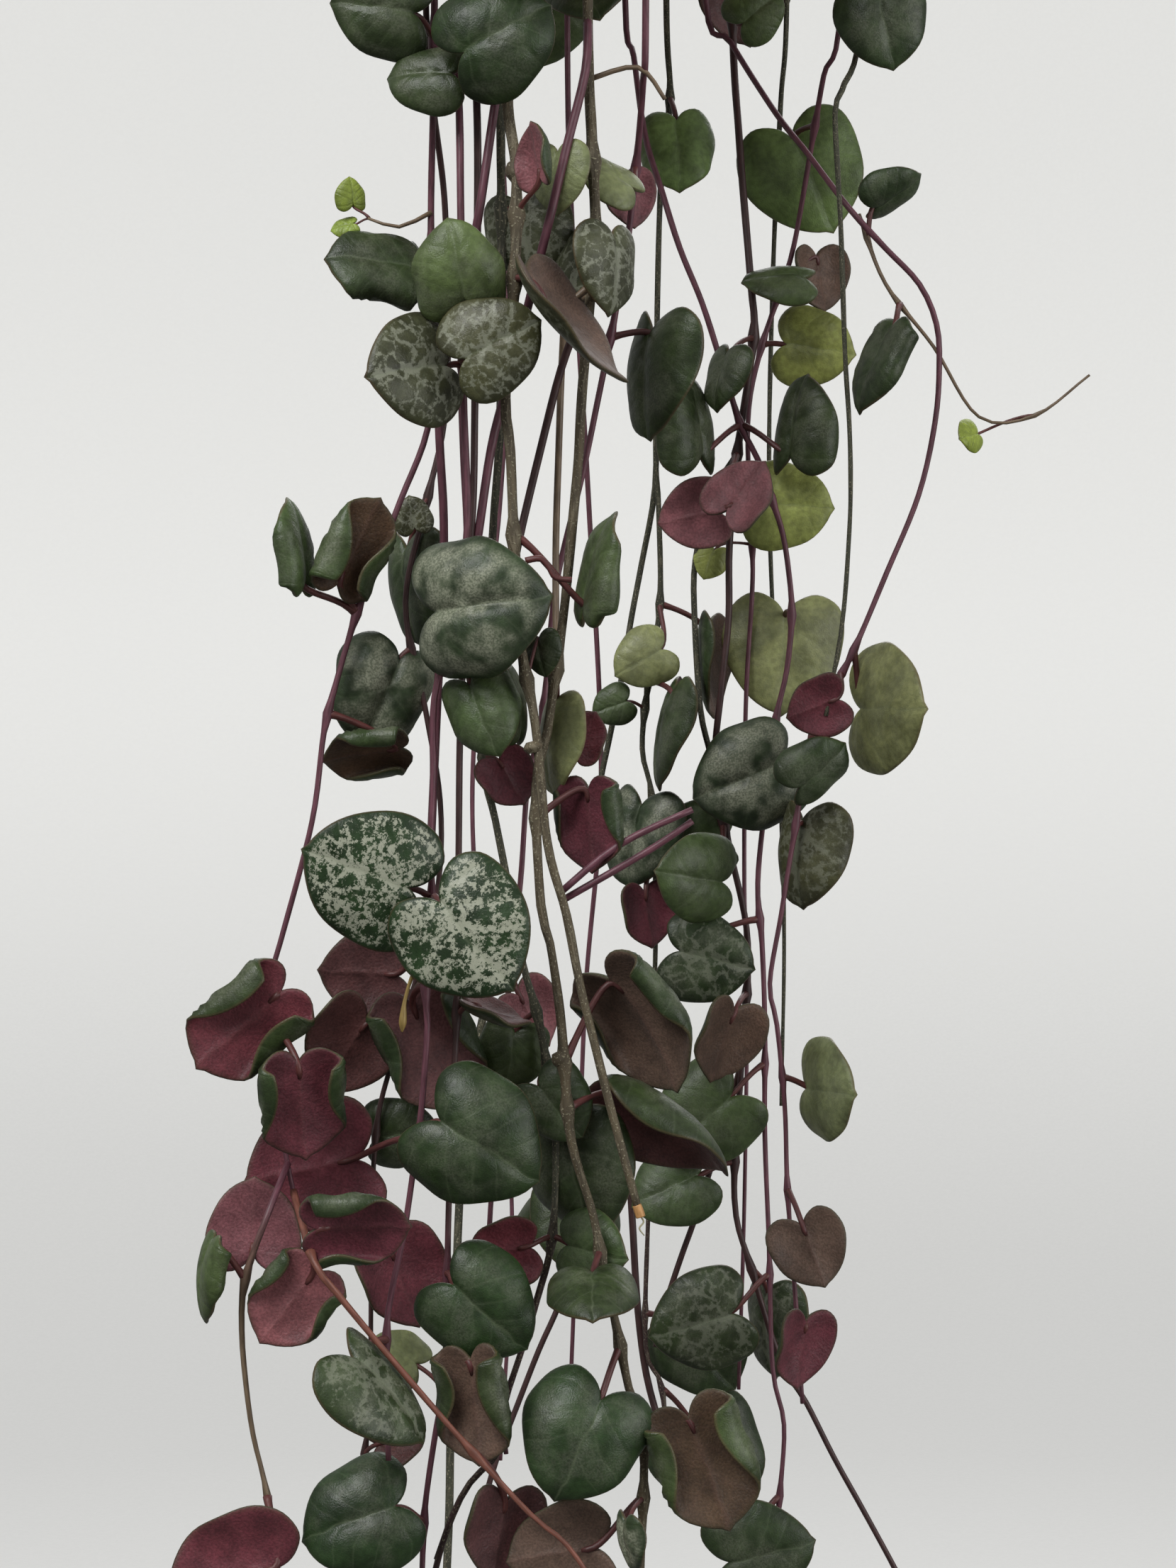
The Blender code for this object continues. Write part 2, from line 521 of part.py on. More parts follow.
def blade(width, roll, curl, swell=0.0):
    """Corners and faces of one blade, its notch at the origin, its tip on +Y and its upper face on +Z."""
    rings = 2 if abs(roll) > ROLLED else 1
    edge = outline(width + 2 * swell, COARSE_STEPS if width > SMALL_LEAF else SMALL_STEPS)
    count = len(edge)
    heart = Vector((0, BLADE_CENTRE * width))
    flat = [heart]
    for ring in range(1, rings + 1):
        flat += [heart.lerp(p, ring / rings) for p in edge]
    half = 0.5 * BLADE_THICKNESS + swell
    points = [bent(p.x, p.y, half, width, roll, curl) for p in flat]
    points += [bent(p.x, p.y, -half, width, roll, curl) for p in flat]
    under = len(flat)
    upper = []
    for i in range(count):
        after = (i + 1) % count
        upper.append((0, 1 + i, 1 + after))
        for ring in range(1, rings):
            a, b = 1 + (ring - 1) * count + i, 1 + (ring - 1) * count + after
            c, d = a + count, b + count
            upper += [(a, c, d), (a, d, b)]
    faces = list(upper)
    faces += [tuple(under + corner for corner in reversed(face)) for face in upper]
    last = 1 + (rings - 1) * count
    for i in range(count):
        a, b = last + i, last + (i + 1) % count
        faces += [(a, under + a, under + b), (a, under + b, b)]
    return points, faces


def frame_of(tip, normal):
    """The turn that sends a leaf's +Y to its tip and its +Z to the way its upper face looks."""
    y = tip.normalized()
    z = (normal - y * normal.dot(y)).normalized()
    return Matrix((y.cross(z), y, z)).transposed()


def facing(aim, pitch, turn):
    """A leaf's frame from the way it looks in the front view."""
    lean = math.radians(pitch)
    angle = math.radians(aim)
    tip = Vector((math.cos(angle) * math.cos(lean), -math.sin(lean), math.sin(angle) * math.cos(lean)))
    basis = frame_of(tip, Vector((0, -1, 0)))
    return basis @ Matrix.Rotation(math.radians(turn), 3, "Y")


def stalk_frame(start, end):
    """The placing of a unit-length cone that runs between two points."""
    way = end - start
    turn = way.to_track_quat("Z", "Y").to_matrix().to_4x4()
    return Matrix.Translation(start.lerp(end, 0.5)) @ turn


def rod(start, end, radius, sides):
    """Corners and faces of a straight stalk."""
    made = bmesh.new()
    bmesh.ops.create_cone(
        made, cap_ends=True, cap_tris=False, segments=sides, radius1=radius, radius2=radius,
        depth=(end - start).length, matrix=stalk_frame(start, end),
    )
    points = [v.co.copy() for v in made.verts]
    faces = [tuple(v.index for v in f.verts) for f in made.faces]
    made.free()
    return points, faces


def tube(path, radius, sides, thin=0.6):
    """Corners and faces of a stem that thins towards its end."""
    points = []
    for i, centre in enumerate(path):
        way = (path[min(i + 1, len(path) - 1)] - path[max(i - 1, 0)]).normalized()
        one = way.cross(Vector((0.31, 1, 0.17))).normalized()
        two = way.cross(one)
        share = radius * (1 - (1 - thin) * i / (len(path) - 1))
        for k in range(sides):
            angle = math.tau * k / sides
            points.append(centre + one * (share * math.cos(angle)) + two * (share * math.sin(angle)))
    faces = [tuple(reversed(range(sides))), tuple(range(len(points) - sides, len(points)))]
    for i in range(len(path) - 1):
        for k in range(sides):
            a, b = i * sides + k, i * sides + (k + 1) % sides
            faces.append((a, b, b + sides, a + sides))
    return points, faces


class Room:
    """The space that is taken, so that each new leaf is turned or moved clear of all the others."""

    def __init__(self):
        self.taken = []

    def take(self, shape, owner):
        points, faces = shape
        low = [min(p[i] for p in points) for i in range(3)]
        high = [max(p[i] for p in points) for i in range(3)]
        self.taken.append((BVHTree.FromPolygons(points, faces), low, high, owner))

    def free(self, shape, allowed=()):
        points, faces = shape
        low = [min(p[i] for p in points) for i in range(3)]
        high = [max(p[i] for p in points) for i in range(3)]
        tree = None
        for other, other_low, other_high, owner in self.taken:
            if owner in allowed or any(low[i] > other_high[i] or high[i] < other_low[i] for i in range(3)):
                continue
            tree = tree or BVHTree.FromPolygons(points, faces)
            if tree.overlap(other):
                return False
        return True


def placed(shape, basis, origin):
    points, faces = shape
    return [basis @ p + origin for p in points], faces


def leaf_tries():
    """The small changes tried on a leaf that would touch another, least first: depth, turn and lean."""
    tries = []
    for turn in (0, 18, -18, 36, -36):
        for lean in (0, 16, -16):
            for step in range(0, 17, 2):
                for depth in ({step, -step}):
                    tries.append((step + abs(turn) / 8 + abs(lean) / 7, depth * MM, turn, lean))
    return sorted(tries)


def nearest_on(path, z):
    """The point of a hanging stem at this height, below the rim."""
    below = [p for p in path if p.z < RIM_TOP - 0.01]
    return min(below, key=lambda p: abs(p.z - z))


def stalk_and_blade(room, owner, node, notch, basis, form):
    """The two shapes of a leaf if both are clear of everything else, or None."""
    width, roll, curl = form
    fat = placed(blade(width, roll, curl, CLEARANCE), basis, notch)
    if not room.free(fat):
        return None
    inside = notch + basis @ bent(0, 0.07 * width, 0, width, roll, curl)
    if not STALK_SHORTEST < (inside - node).length < STALK_LONGEST:
        return None
    if not room.free(rod(node, inside, STALK_RADIUS + CLEARANCE, 3), (owner, owner + " stalk")):
        return None
    return rod(node, inside, STALK_RADIUS, 3), placed(blade(width, roll, curl), basis, notch)


def place_seen_leaf(room, plan, path, spot):
    """One leaf that the front view gives, moved in depth or turned a little where it would touch."""
    width = spot.width * MM
    for _, shift, turn, lean in TRIES:
        node_depth = nearest_on(path, seen(0, spot.node, plan.low).z).y
        depth = node_depth - spot.nearer * MM + shift
        basis = facing(spot.aim, spot.pitch + lean, spot.turn + turn)
        scale = (VIEW_DISTANCE + depth - FRONT_PLANE) / VIEW_DISTANCE
        node = nearest_on(path, seen(0, spot.node, node_depth).z)
        form = (width * scale, spot.roll, spot.curl)
        heart = bent(0, BLADE_CENTRE * form[0], 0, *form)
        notch = seen(spot.across, spot.down, depth) - basis @ heart
        made = stalk_and_blade(room, plan.name, node, notch, basis, form)
        if made:
            return made, (node, notch, basis, form)
    return None


def ruled_leaf(room, owner, node, outward, draw, width):
    """One leaf of a pair by rule: it hangs outward and down from its node, upper face out."""
    for attempt in range(14):
        swing = outward + (attempt // 2) * 0.3 * (-1) ** attempt + draw.uniform(-0.2, 0.2)
        out = Vector((math.cos(swing), math.sin(swing), 0))
        reach = draw.uniform(5.5, 8.5) * MM
        notch = node + out * reach + Vector((0, 0, draw.uniform(-2.5, 0.5) * MM))
        fall = math.radians(draw.uniform(35, 80))
        tip = out * math.cos(fall) - Vector((0, 0, math.sin(fall)))
        normal = out * math.sin(fall) + Vector((0, 0, math.cos(fall)))
        turn = math.radians(draw.uniform(-30, 30) if draw.random() < 0.8 else draw.uniform(120, 240))
        basis = frame_of(tip, normal) @ Matrix.Rotation(turn, 3, "Y")
        form = (width, draw.uniform(0.4, 0.9), draw.uniform(0.25, 0.5))
        made = stalk_and_blade(room, owner, node, notch, basis, form)
        if made:
            return made, (node, notch, basis, form)
    return None


def node_points(path, spacing, draw):
    """Points at the leaf nodes along a stem, and how far along each is."""
    found = []
    travelled = 0.0
    wanted = spacing * draw.uniform(0.5, 0.9)
    for a, b in zip(path, path[1:]):
        travelled += (b - a).length
        free = b.z > RIM_TOP or math.hypot(b.x, b.y) > RIM_RADIUS
        if free and travelled > wanted:
            found.append(b)
            wanted = travelled + spacing * draw.uniform(0.85, 1.2)
    return found


def wants_ruled(plan, point):
    """Whether a node's leaves come by rule: all but those in the strand's bare stretch."""
    upper, lower = (seen(0, row, point.y).z for row in plan.bare)
    return point.z > upper or point.z < lower


def material(name, colour, roughness, metallic=0.0):
    made = bpy.data.materials.new(name)
    made.use_nodes = True
    shader = made.node_tree.nodes["Principled BSDF"]
    shader.inputs["Base Color"].default_value = (*colour, 1.0)
    shader.inputs["Roughness"].default_value = roughness
    shader.inputs["Metallic"].default_value = metallic
    return made


def new_object(name, mesh, collection, look=None):
    made = bpy.data.objects.new(name, mesh)
    collection.objects.link(made)
    if look:
        mesh.materials.clear()
        mesh.materials.append(look)
    return made


def mesh_object(name, shape, collection, look=None):
    mesh = bpy.data.meshes.new(name)
    points, faces = shape
    mesh.from_pydata([tuple(p) for p in points], [], faces)
    return new_object(name, mesh, collection, look)


def curve_as_mesh(name, points, radius, collection, resolution=2):
    """A round rod along the points, as a closed mesh object."""
    curve = bpy.data.curves.new(name, "CURVE")
    curve.dimensions = "3D"
    curve.bevel_depth = radius
    curve.bevel_resolution = resolution
    curve.use_fill_caps = True
    spline = curve.splines.new("POLY")
    spline.points.add(len(points) - 1)
    for place, point in zip(spline.points, points):
        place.co = (*point, 1.0)
    rod_object = new_object(name + "_guide", curve, collection)
    bpy.context.view_layer.update()
    graph = bpy.context.evaluated_depsgraph_get()
    mesh = bpy.data.meshes.new_from_object(rod_object.evaluated_get(graph))
    mesh.transform(rod_object.matrix_world)
    bpy.data.objects.remove(rod_object)
    weld(mesh)
    return new_object(name, mesh, collection)


def weld(mesh):
    work = bmesh.new()
    work.from_mesh(mesh)
    bmesh.ops.remove_doubles(work, verts=work.verts, dist=1e-6)
    bmesh.ops.recalc_face_normals(work, faces=work.faces)
    work.to_mesh(mesh)
    work.free()


def joined(target, others, solver="EXACT"):
    """The target with the other objects fused into it, which are then removed."""
    group = bpy.data.collections.new(target.name + "_joined")
    for other in others:
        group.objects.link(other)
    join = target.modifiers.new("join", "BOOLEAN")
    join.operation = "UNION"
    join.operand_type = "COLLECTION"
    join.collection = group
    join.solver = solver
    bpy.context.view_layer.update()
    graph = bpy.context.evaluated_depsgraph_get()
    mesh = bpy.data.meshes.new_from_object(target.evaluated_get(graph))
    target.modifiers.clear()
    target.data = mesh
    for other in others:
        bpy.data.objects.remove(other)
    bpy.data.collections.remove(group)
    return target


def cut(target, cutters, name):
    """Holes cut by a collection of cutters, which stay in the file as guides."""
    group = bpy.data.collections.new(name)
    bpy.context.scene.collection.children.link(group)
    for cutter in cutters:
        for holder in list(cutter.users_collection):
            holder.objects.unlink(cutter)
        group.objects.link(cutter)
        cutter.hide_render = True
        cutter.display_type = "WIRE"
    hole = target.modifiers.new(name, "BOOLEAN")
    hole.operation = "DIFFERENCE"
    hole.operand_type = "COLLECTION"
    hole.collection = group


def turned(name, profile, steps, collection, look):
    """A solid turned about the Z axis from a profile of (radius, height)."""
    mesh = bpy.data.meshes.new(name)
    mesh.from_pydata([(r, 0, z) for r, z in profile], [(i, i + 1) for i in range(len(profile) - 1)], [])
    made = new_object(name, mesh, collection, look)
    screw = made.modifiers.new("turn", "SCREW")
    screw.steps = steps
    screw.render_steps = steps
    screw.use_merge_vertices = True
    screw.merge_threshold = 0.00005
    screw.use_smooth_shade = True
    return made


def cylinder(name, centre, radius, low, high, sides, collection):
    start = Vector((centre[0], centre[1], low))
    end = Vector((centre[0], centre[1], high))
    return mesh_object(name, rod(start, end, radius, sides), collection)


def pot_radius(z, inside):
    """The pot wall's radius at a height, outside or inside."""
    share = (z - POT_BASE) / POT_HEIGHT
    outer = POT_BASE_RADIUS + (POT_TOP_RADIUS - POT_BASE_RADIUS) * share
    return outer - POT_WALL if inside else outer


def make_pot(collection, look):
    floor = POT_BASE + POT_FLOOR
    under_rim = RIM_TOP - RIM_THICKNESS
    profile = [
        (0, floor),
        (pot_radius(floor, True), floor),
        (pot_radius(RIM_TOP, True), RIM_TOP - 0.0006),
        (pot_radius(RIM_TOP, True) + 0.0006, RIM_TOP),
        (RIM_RADIUS - 0.0007, RIM_TOP),
        (RIM_RADIUS, RIM_TOP - 0.0008),
        (RIM_RADIUS, under_rim),
        (pot_radius(under_rim, False), under_rim),
        (pot_radius(POT_BASE + 0.002, False), POT_BASE + 0.002),
        (POT_BASE_RADIUS - 0.0018, POT_BASE),
        (0, POT_BASE),
    ]
    pot = turned("pot", profile, POT_STEPS, collection, look)
    cutters = []
    for i in range(DRAIN_HOLES):
        spot = at_azimuth(math.tau * (i + 0.5) / DRAIN_HOLES, DRAIN_CIRCLE, 0)
        low, high = POT_BASE - 0.002, floor + 0.002
        cutters.append(cylinder(f"drain_{i}", spot, DRAIN_RADIUS, low, high, 10, collection))
    for i, azimuth in enumerate(WIRE_AZIMUTHS):
        spot = at_azimuth(math.radians(azimuth), WIRE_RIM_CIRCLE, 0)
        low, high = under_rim - 0.002, RIM_TOP + 0.002
        cutters.append(cylinder(f"rim_hole_{i}", spot, WIRE_HOLE_RADIUS, low, high, 8, collection))
    cut(pot, cutters, "pot_cutters")
    return pot


def tuber_shape(x, y, radius, grow=0.0):
    """A slightly lumpy, flattened ball half sunk in the soil."""
    made = bmesh.new()
    bmesh.ops.create_icosphere(made, subdivisions=2, radius=1.0)
    centre = Vector((x, y, SOIL_TOP + SOIL_MOUND + 0.12 * radius))
    points = []
    for vert in made.verts:
        lump = 1 + 0.07 * math.sin(5 * vert.co.x + 40 * x) * math.cos(4 * vert.co.y - 50 * y)
        size = radius * lump + grow
        points.append(centre + Vector((vert.co.x * size, vert.co.y * size, vert.co.z * size * 0.82)))
    faces = [tuple(v.index for v in f.verts) for f in made.faces]
    made.free()
    return points, faces


def make_soil(collection, look, feet):
    floor = POT_BASE + POT_FLOOR + SEAT_GAP
    profile = [
        (0, SOIL_TOP + SOIL_MOUND),
        (0.020, SOIL_TOP + SOIL_MOUND),
        (0.038, SOIL_TOP),
        (pot_radius(SOIL_TOP, True) - SEAT_GAP, SOIL_TOP),
        (pot_radius(floor, True) - SEAT_GAP, floor),
        (0, floor),
    ]
    soil = turned("soil", profile, POT_STEPS, collection, look)
    cutters = []
    for i, (foot, radius) in enumerate(feet):
        low = SOIL_TOP - STEM_HOLE_DEPTH
        high = SOIL_TOP + SOIL_MOUND + 0.002
        wide = radius + STEM_HOLE_GAP
        cutters.append(cylinder(f"stem_hole_{i}", foot, wide, low, high, STEM_HOLE_SIDES, collection))
    for i, (x, y, radius) in enumerate(TUBERS):
        cutters.append(mesh_object(f"tuber_dent_{i}", tuber_shape(x, y, radius, SEAT_GAP), collection))
    cut(soil, cutters, "soil_cutters")
    return soil


def make_tubers(collection, look):
    for i, (x, y, radius) in enumerate(TUBERS):
        mesh_object(f"tuber_{i + 1}", tuber_shape(x, y, radius), collection, look)


def hook_points():
    """The hook's centreline: round the open bend, back under it and down its shank."""
    bend = HOOK_INNER_RADIUS + HOOK_WIRE_RADIUS
    middle = Vector((0, 0, -HOOK_INNER_RADIUS))
    points = [middle + Vector((bend * math.cos(a), 0, bend * math.sin(a)))
              for a in (math.radians(-28 + 15.2 * i) for i in range(17))]
    last = points[-1]
    shank = Vector((0, 0, last.z - 0.007))
    points += [last.lerp(shank, t) + Vector((0, 0, -0.0012 * math.sin(math.pi * t))) for t in (0.35, 0.7)]
    points += [shank, Vector((0, 0, HUB_TOP - HUB_THICKNESS - 0.002))]
    return points


def make_hook(collection, look):
    hook = curve_as_mesh("hanger_hook", hook_points(), HOOK_WIRE_RADIUS, collection)
    under = HUB_TOP - HUB_THICKNESS - SEAT_GAP
    head = cylinder("hook_head", (0, 0), 0.0036, under - 0.0022, under, 16, collection)
    joined(hook, [head])
    hook.data.materials.clear()
    hook.data.materials.append(look)


def make_hub(collection, look):
    low = HUB_TOP - HUB_THICKNESS
    profile = [
        (0, HUB_TOP),
        (HUB_RADIUS - 0.0008, HUB_TOP),
        (HUB_RADIUS, HUB_TOP - 0.0008),
        (HUB_RADIUS, low),
        (0, low),
    ]
    hub = turned("hanger_hub", profile, 24, collection, look)
    bottom, top = low - 0.001, HUB_TOP + 0.001
    cutters = [cylinder("shank_hole", (0, 0), HOOK_WIRE_RADIUS + 0.0004, bottom, top, 12, collection)]
    for i, azimuth in enumerate(WIRE_AZIMUTHS):
        spot = at_azimuth(math.radians(azimuth), HUB_HOLE_CIRCLE, 0)
        cutters.append(cylinder(f"hub_hole_{i}", spot, WIRE_HOLE_RADIUS, bottom, top, 8, collection))
    cut(hub, cutters, "hub_cutters")


def wire_points(azimuth):
    """A hanger wire's centreline: down through the hub, out to the rim and down through its hole."""
    angle = math.radians(azimuth)
    under_rim = RIM_TOP - RIM_THICKNESS
    top = [at_azimuth(angle, HUB_HOLE_CIRCLE, z) for z in (HUB_TOP + 0.001, HUB_TOP - 0.009)]
    foot = [at_azimuth(angle, WIRE_RIM_CIRCLE, z) for z in (RIM_TOP + 0.012, under_rim - 0.001)]
    bends = [
        at_azimuth(angle, HUB_HOLE_CIRCLE + 0.0012, HUB_TOP - 0.014),
        at_azimuth(angle, WIRE_RIM_CIRCLE - 0.0012, RIM_TOP + 0.017),
    ]
    return [top[0], top[1], bends[0], bends[1], foot[0], foot[1]]


def make_wires(collection, look):
    for i, azimuth in enumerate(WIRE_AZIMUTHS):
        wire = curve_as_mesh(f"hanger_wire_{i + 1}", wire_points(azimuth), WIRE_RADIUS, collection, 1)
        upper = at_azimuth(math.radians(azimuth), HUB_HOLE_CIRCLE, 0)
        lower = at_azimuth(math.radians(azimuth), WIRE_RIM_CIRCLE, 0)
        bottom = RIM_TOP - RIM_THICKNESS - SEAT_GAP
        heads = [
            cylinder("upper_head", upper, WIRE_HEAD_RADIUS, HUB_TOP + SEAT_GAP,
                     HUB_TOP + SEAT_GAP + WIRE_HEAD_LENGTH, 8, collection),
            cylinder("lower_head", lower, WIRE_HEAD_RADIUS, bottom - WIRE_HEAD_LENGTH, bottom, 8, collection),
        ]
        joined(wire, heads)
        wire.data.materials.clear()
        wire.data.materials.append(look)


def plan_strands():
    """Every strand as (name, radius, stem path, branch paths, plan), the long ones first."""
    plans = []
    for index, plan in enumerate(FRONT_STRANDS + BACK_STRANDS):
        path = smooth_curve(strand_path(plan, index), STEM_STEP)
        branches = []
        for branch in plan.branches:
            start = nearest_on(along(path), seen(0, branch.start, plan.low).z)
            points = [start] + [seen(a, d, start.y + branch.depth) for a, d in branch.route]
            branches.append((smooth_curve(points, STEM_STEP), branch.radius, branch.leaves))
        plans.append((plan.name, plan.radius, path, branches, plan))
    for index, (azimuth, length) in enumerate(SIDE_STRANDS):
        path = smooth_curve(side_path(azimuth, length, index), SIDE_STEM_STEP)
        plan = strand(f"strand_side_{index + 1}", 0.5, 1, 0, [], [], spacing=SIDE_LEAF_SPACING, bare=(0, 0))
        plans.append((plan.name, plan.radius, path, [], plan))
    return plans


def block_room(room, plans):
    """Takes the space of the pot, its wires, the tubers and all the stems."""
    low, high = Vector((0, 0, POT_BASE - POT_KEEP_OFF)), Vector((0, 0, RIM_TOP))
    room.take(rod(low, high, POT_TOP_RADIUS, POT_STEPS), "pot")
    middle = 0.5 * (RIM_RADIUS + POT_TOP_RADIUS)
    under_rim = RIM_TOP - 0.5 * RIM_THICKNESS
    ring = [at_azimuth(math.tau * i / POT_STEPS, middle, under_rim) for i in range(POT_STEPS + 1)]
    room.take(tube(ring, RIM_KEEP_OFF, 6, 1.0), "pot")
    for azimuth in WIRE_AZIMUTHS:
        room.take(tube(wire_points(azimuth), WIRE_HEAD_RADIUS, 6, 1.0), "wire")
    for x, y, radius in TUBERS:
        room.take(tuber_shape(x, y, radius, CLEARANCE), "tuber")
    for name, radius, path, branches, _ in plans:
        room.take(tube(path, radius + CLEARANCE, 5), name)
        for way, thin, _ in branches:
            room.take(tube(way, thin + CLEARANCE, 4), name)


def grow_leaves(room, plans):
    """Places every leaf: those that the front view gives first, and then those that follow the rule."""
    grown = {name: [] for name, *_ in plans}
    missed = []

    def keep(name, found):
        made, facts = found
        stalk, face = made
        room.take(face, name + " blade")
        room.take(stalk, name + " stalk")
        grown[name].append((stalk, face, facts))

    for name, _, path, branches, plan in plans:
        stems = [(path, plan.leaves)] + [(way, shown) for way, _, shown in branches]
        for way, shown in stems:
            for spot in shown:
                found = place_seen_leaf(room, plan, along(way), spot)
                if found:
                    keep(name, found)
                else:
                    missed.append((name, spot.across, spot.down))
    for index, (name, _, path, branches, plan) in enumerate(plans):
        draw = random.Random(SEED + index)
        fine = along(path)
        ways = [p for p in node_points(fine, plan.spacing, draw) if wants_ruled(plan, p)]
        for way, _, shown in branches:
            ways += [] if shown else node_points(along(way), SHOOT_LEAF_SPACING, draw)
        for number, node in enumerate(ways):
            outward = math.atan2(node.y, node.x) + (0.9 if number % 2 else 0.2)
            width = draw.uniform(*LEAF_WIDTHS) * MM
            for side in (0, 1):
                if side and draw.random() > SECOND_LEAF_SHARE:
                    continue
                found = ruled_leaf(room, name, node, outward + (2.2 if side else 0), draw, width)
                if found:
                    keep(name, found)
    return grown, missed


def make_strand(name, radius, path, branches, leaves, collection, look):
    """One strand fused from its stem, side shoots, stalks and blades."""
    stem = mesh_object(name, tube(path, radius, 4 if radius > THICK_STEM else 3), collection, look)
    pieces = []
    for i, (way, thin, _) in enumerate(branches):
        pieces.append(mesh_object(f"{name}_shoot_{i}", tube(way, thin, 3), collection))
    for i, (stalk, face, _) in enumerate(leaves):
        pieces.append(mesh_object(f"{name}_stalk_{i}", stalk, collection))
        pieces.append(mesh_object(f"{name}_blade_{i}", face, collection))
    if pieces:
        joined(stem, pieces, "MANIFOLD")
    stem.data.materials.clear()
    stem.data.materials.append(look)


def main():
    for old in list(bpy.data.objects):
        bpy.data.objects.remove(old)
    collection = bpy.data.collections.new(OBJECT_NAME)
    bpy.context.scene.collection.children.link(collection)
    plastic = material("moulded_plastic", (0.30, 0.13, 0.08), 0.5)
    steel = material("galvanised_steel", (0.55, 0.55, 0.54), 0.35, 1.0)
    mix = material("potting_mix", (0.035, 0.022, 0.015), 0.95)
    skin = material("tuber_skin", (0.22, 0.15, 0.09), 0.8)
    foliage = material("waxy_leaf", (0.035, 0.06, 0.04), 0.45)
    plans = plan_strands()
    room = Room()
    block_room(room, plans)
    grown, missed = grow_leaves(room, plans)
    if missed:
        print("leaves with no clear place:", missed)
    make_pot(collection, plastic)
    make_soil(collection, mix, [(path[0], radius) for _, radius, path, _, _ in plans])
    make_tubers(collection, skin)
    make_hub(collection, plastic)
    make_hook(collection, steel)
    make_wires(collection, steel)
    for name, radius, path, branches, _ in plans:
        make_strand(name, radius, path, branches, grown[name], collection, foliage)
    print("leaves:", sum(len(found) for found in grown.values()))


TRIES = leaf_tries()
main()
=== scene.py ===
"""Looks for a potted string of hearts: a small hanging pot with long trailing strands of heart leaves.

Metres, +Z up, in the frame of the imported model. Each strand, the pot, its soil and its hanger get a finer
piece that keeps the form of the plain solid which it stands for.
"""

import random
from collections import namedtuple
from functools import partial
from math import atan2, cos, exp, hypot, pi, radians, sin, sqrt, tau

import bmesh
import bpy
from bpy.props import FloatProperty, FloatVectorProperty, IntProperty, PointerProperty
from bpy.types import Operator, Panel, PropertyGroup
from mathutils import Matrix, Vector, noise
from mathutils.bvhtree import BVHTree


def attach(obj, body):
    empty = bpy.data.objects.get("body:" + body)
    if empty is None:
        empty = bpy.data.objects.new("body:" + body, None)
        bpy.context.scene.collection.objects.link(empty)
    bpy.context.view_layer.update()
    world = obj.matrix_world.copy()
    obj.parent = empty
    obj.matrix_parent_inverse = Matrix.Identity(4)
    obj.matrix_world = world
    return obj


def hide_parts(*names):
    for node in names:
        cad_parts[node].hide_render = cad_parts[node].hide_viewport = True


bl_info = {
    "name": "Potted string of hearts",
    "version": (1, 0, 0),
    "blender": (4, 5, 0),
    "location": "View3D > Sidebar > Plant",
    "description": "Builds the leaves, stems, pot, soil, hanger and studio of a trailing house plant",
    "category": "Object",
}

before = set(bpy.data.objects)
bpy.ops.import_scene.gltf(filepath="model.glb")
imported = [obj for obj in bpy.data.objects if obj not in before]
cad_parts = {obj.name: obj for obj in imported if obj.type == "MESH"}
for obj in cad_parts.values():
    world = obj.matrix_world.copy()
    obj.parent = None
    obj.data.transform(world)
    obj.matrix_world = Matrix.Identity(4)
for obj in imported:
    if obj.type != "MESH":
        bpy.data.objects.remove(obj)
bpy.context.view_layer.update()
BODY = "root"

MM = 0.001
SEED = 11

# Pot: a tapered tub with a flat rim flange
RIM_TOP = -0.225
POT_HEIGHT = 0.082
POT_BASE = RIM_TOP - POT_HEIGHT
RIM_RADIUS = 0.052
RIM_THICKNESS = 0.0025
POT_TOP_RADIUS = 0.045
POT_BASE_RADIUS = 0.036
POT_WALL = 0.0018
POT_FLOOR = 0.0025
POT_STEPS = 24
POT_FINE_STEPS = 96
DRAIN_HOLES = 4
DRAIN_RADIUS = 0.0035
DRAIN_CIRCLE = 0.022

# Soil and the tubers that sit in it
SEAT_GAP = 0.0003
SOIL_DEPTH_BELOW_RIM = 0.009
SOIL_TOP = RIM_TOP - SOIL_DEPTH_BELOW_RIM
SOIL_MOUND = 0.002
MOUND_FLAT = 0.020
MOUND_FALL = 0.018
SOIL_RINGS = 40
STEM_SUNK = 0.010
TUBER_RISE = 0.12
TUBER_FLAT = 0.82
TUBERS = ((0.003, -0.007, 0.0085), (-0.013, 0.009, 0.0068))

# Hanger: hook, hub and three wires
HOOK_WIRE_RADIUS = 0.0015
HOOK_INNER_RADIUS = 0.0085
HOOK_MOUTH_ANGLE = -28
HOOK_ANGLE_STEP = 15.2
HOOK_BEND_POINTS = 17
SHANK_DROP = 0.007
HUB_TOP = -0.041
HUB_THICKNESS = 0.004
HUB_RADIUS = 0.013
HUB_HOLE_CIRCLE = 0.0085
WIRE_RADIUS = 0.0009
WIRE_HEAD_RADIUS = 0.0021
WIRE_HEAD_LENGTH = 0.0016
WIRE_HOLE_RADIUS = 0.0014
WIRE_EASE = 0.0012
WIRE_RIM_CIRCLE = 0.0485
WIRE_AZIMUTHS = (110, 230, 350)
HOOK_HOLE_PLAY = 0.0004
HOOK_HEAD_LENGTH = 0.0022
HOOK_HEAD_RADIUS = 0.0036
EDGE_ROUNDING = 0.0009
DRILL_PAST = 0.002

# The strands are laid out on a plane 0.1 mm to the unit, seen level from the front at this distance
VIEW_UNIT = 0.0001
VIEW_DISTANCE = 0.470
FRONT_PLANE = -0.045
VIEW_CENTRE_X = 0.006
VIEW_CENTRE_Z = POT_BASE - 0.140
VIEW_HALF_WIDTH = 829.5
VIEW_HALF_HEIGHT = 1106.0
VIEW_ROWS = (-60, 2192)

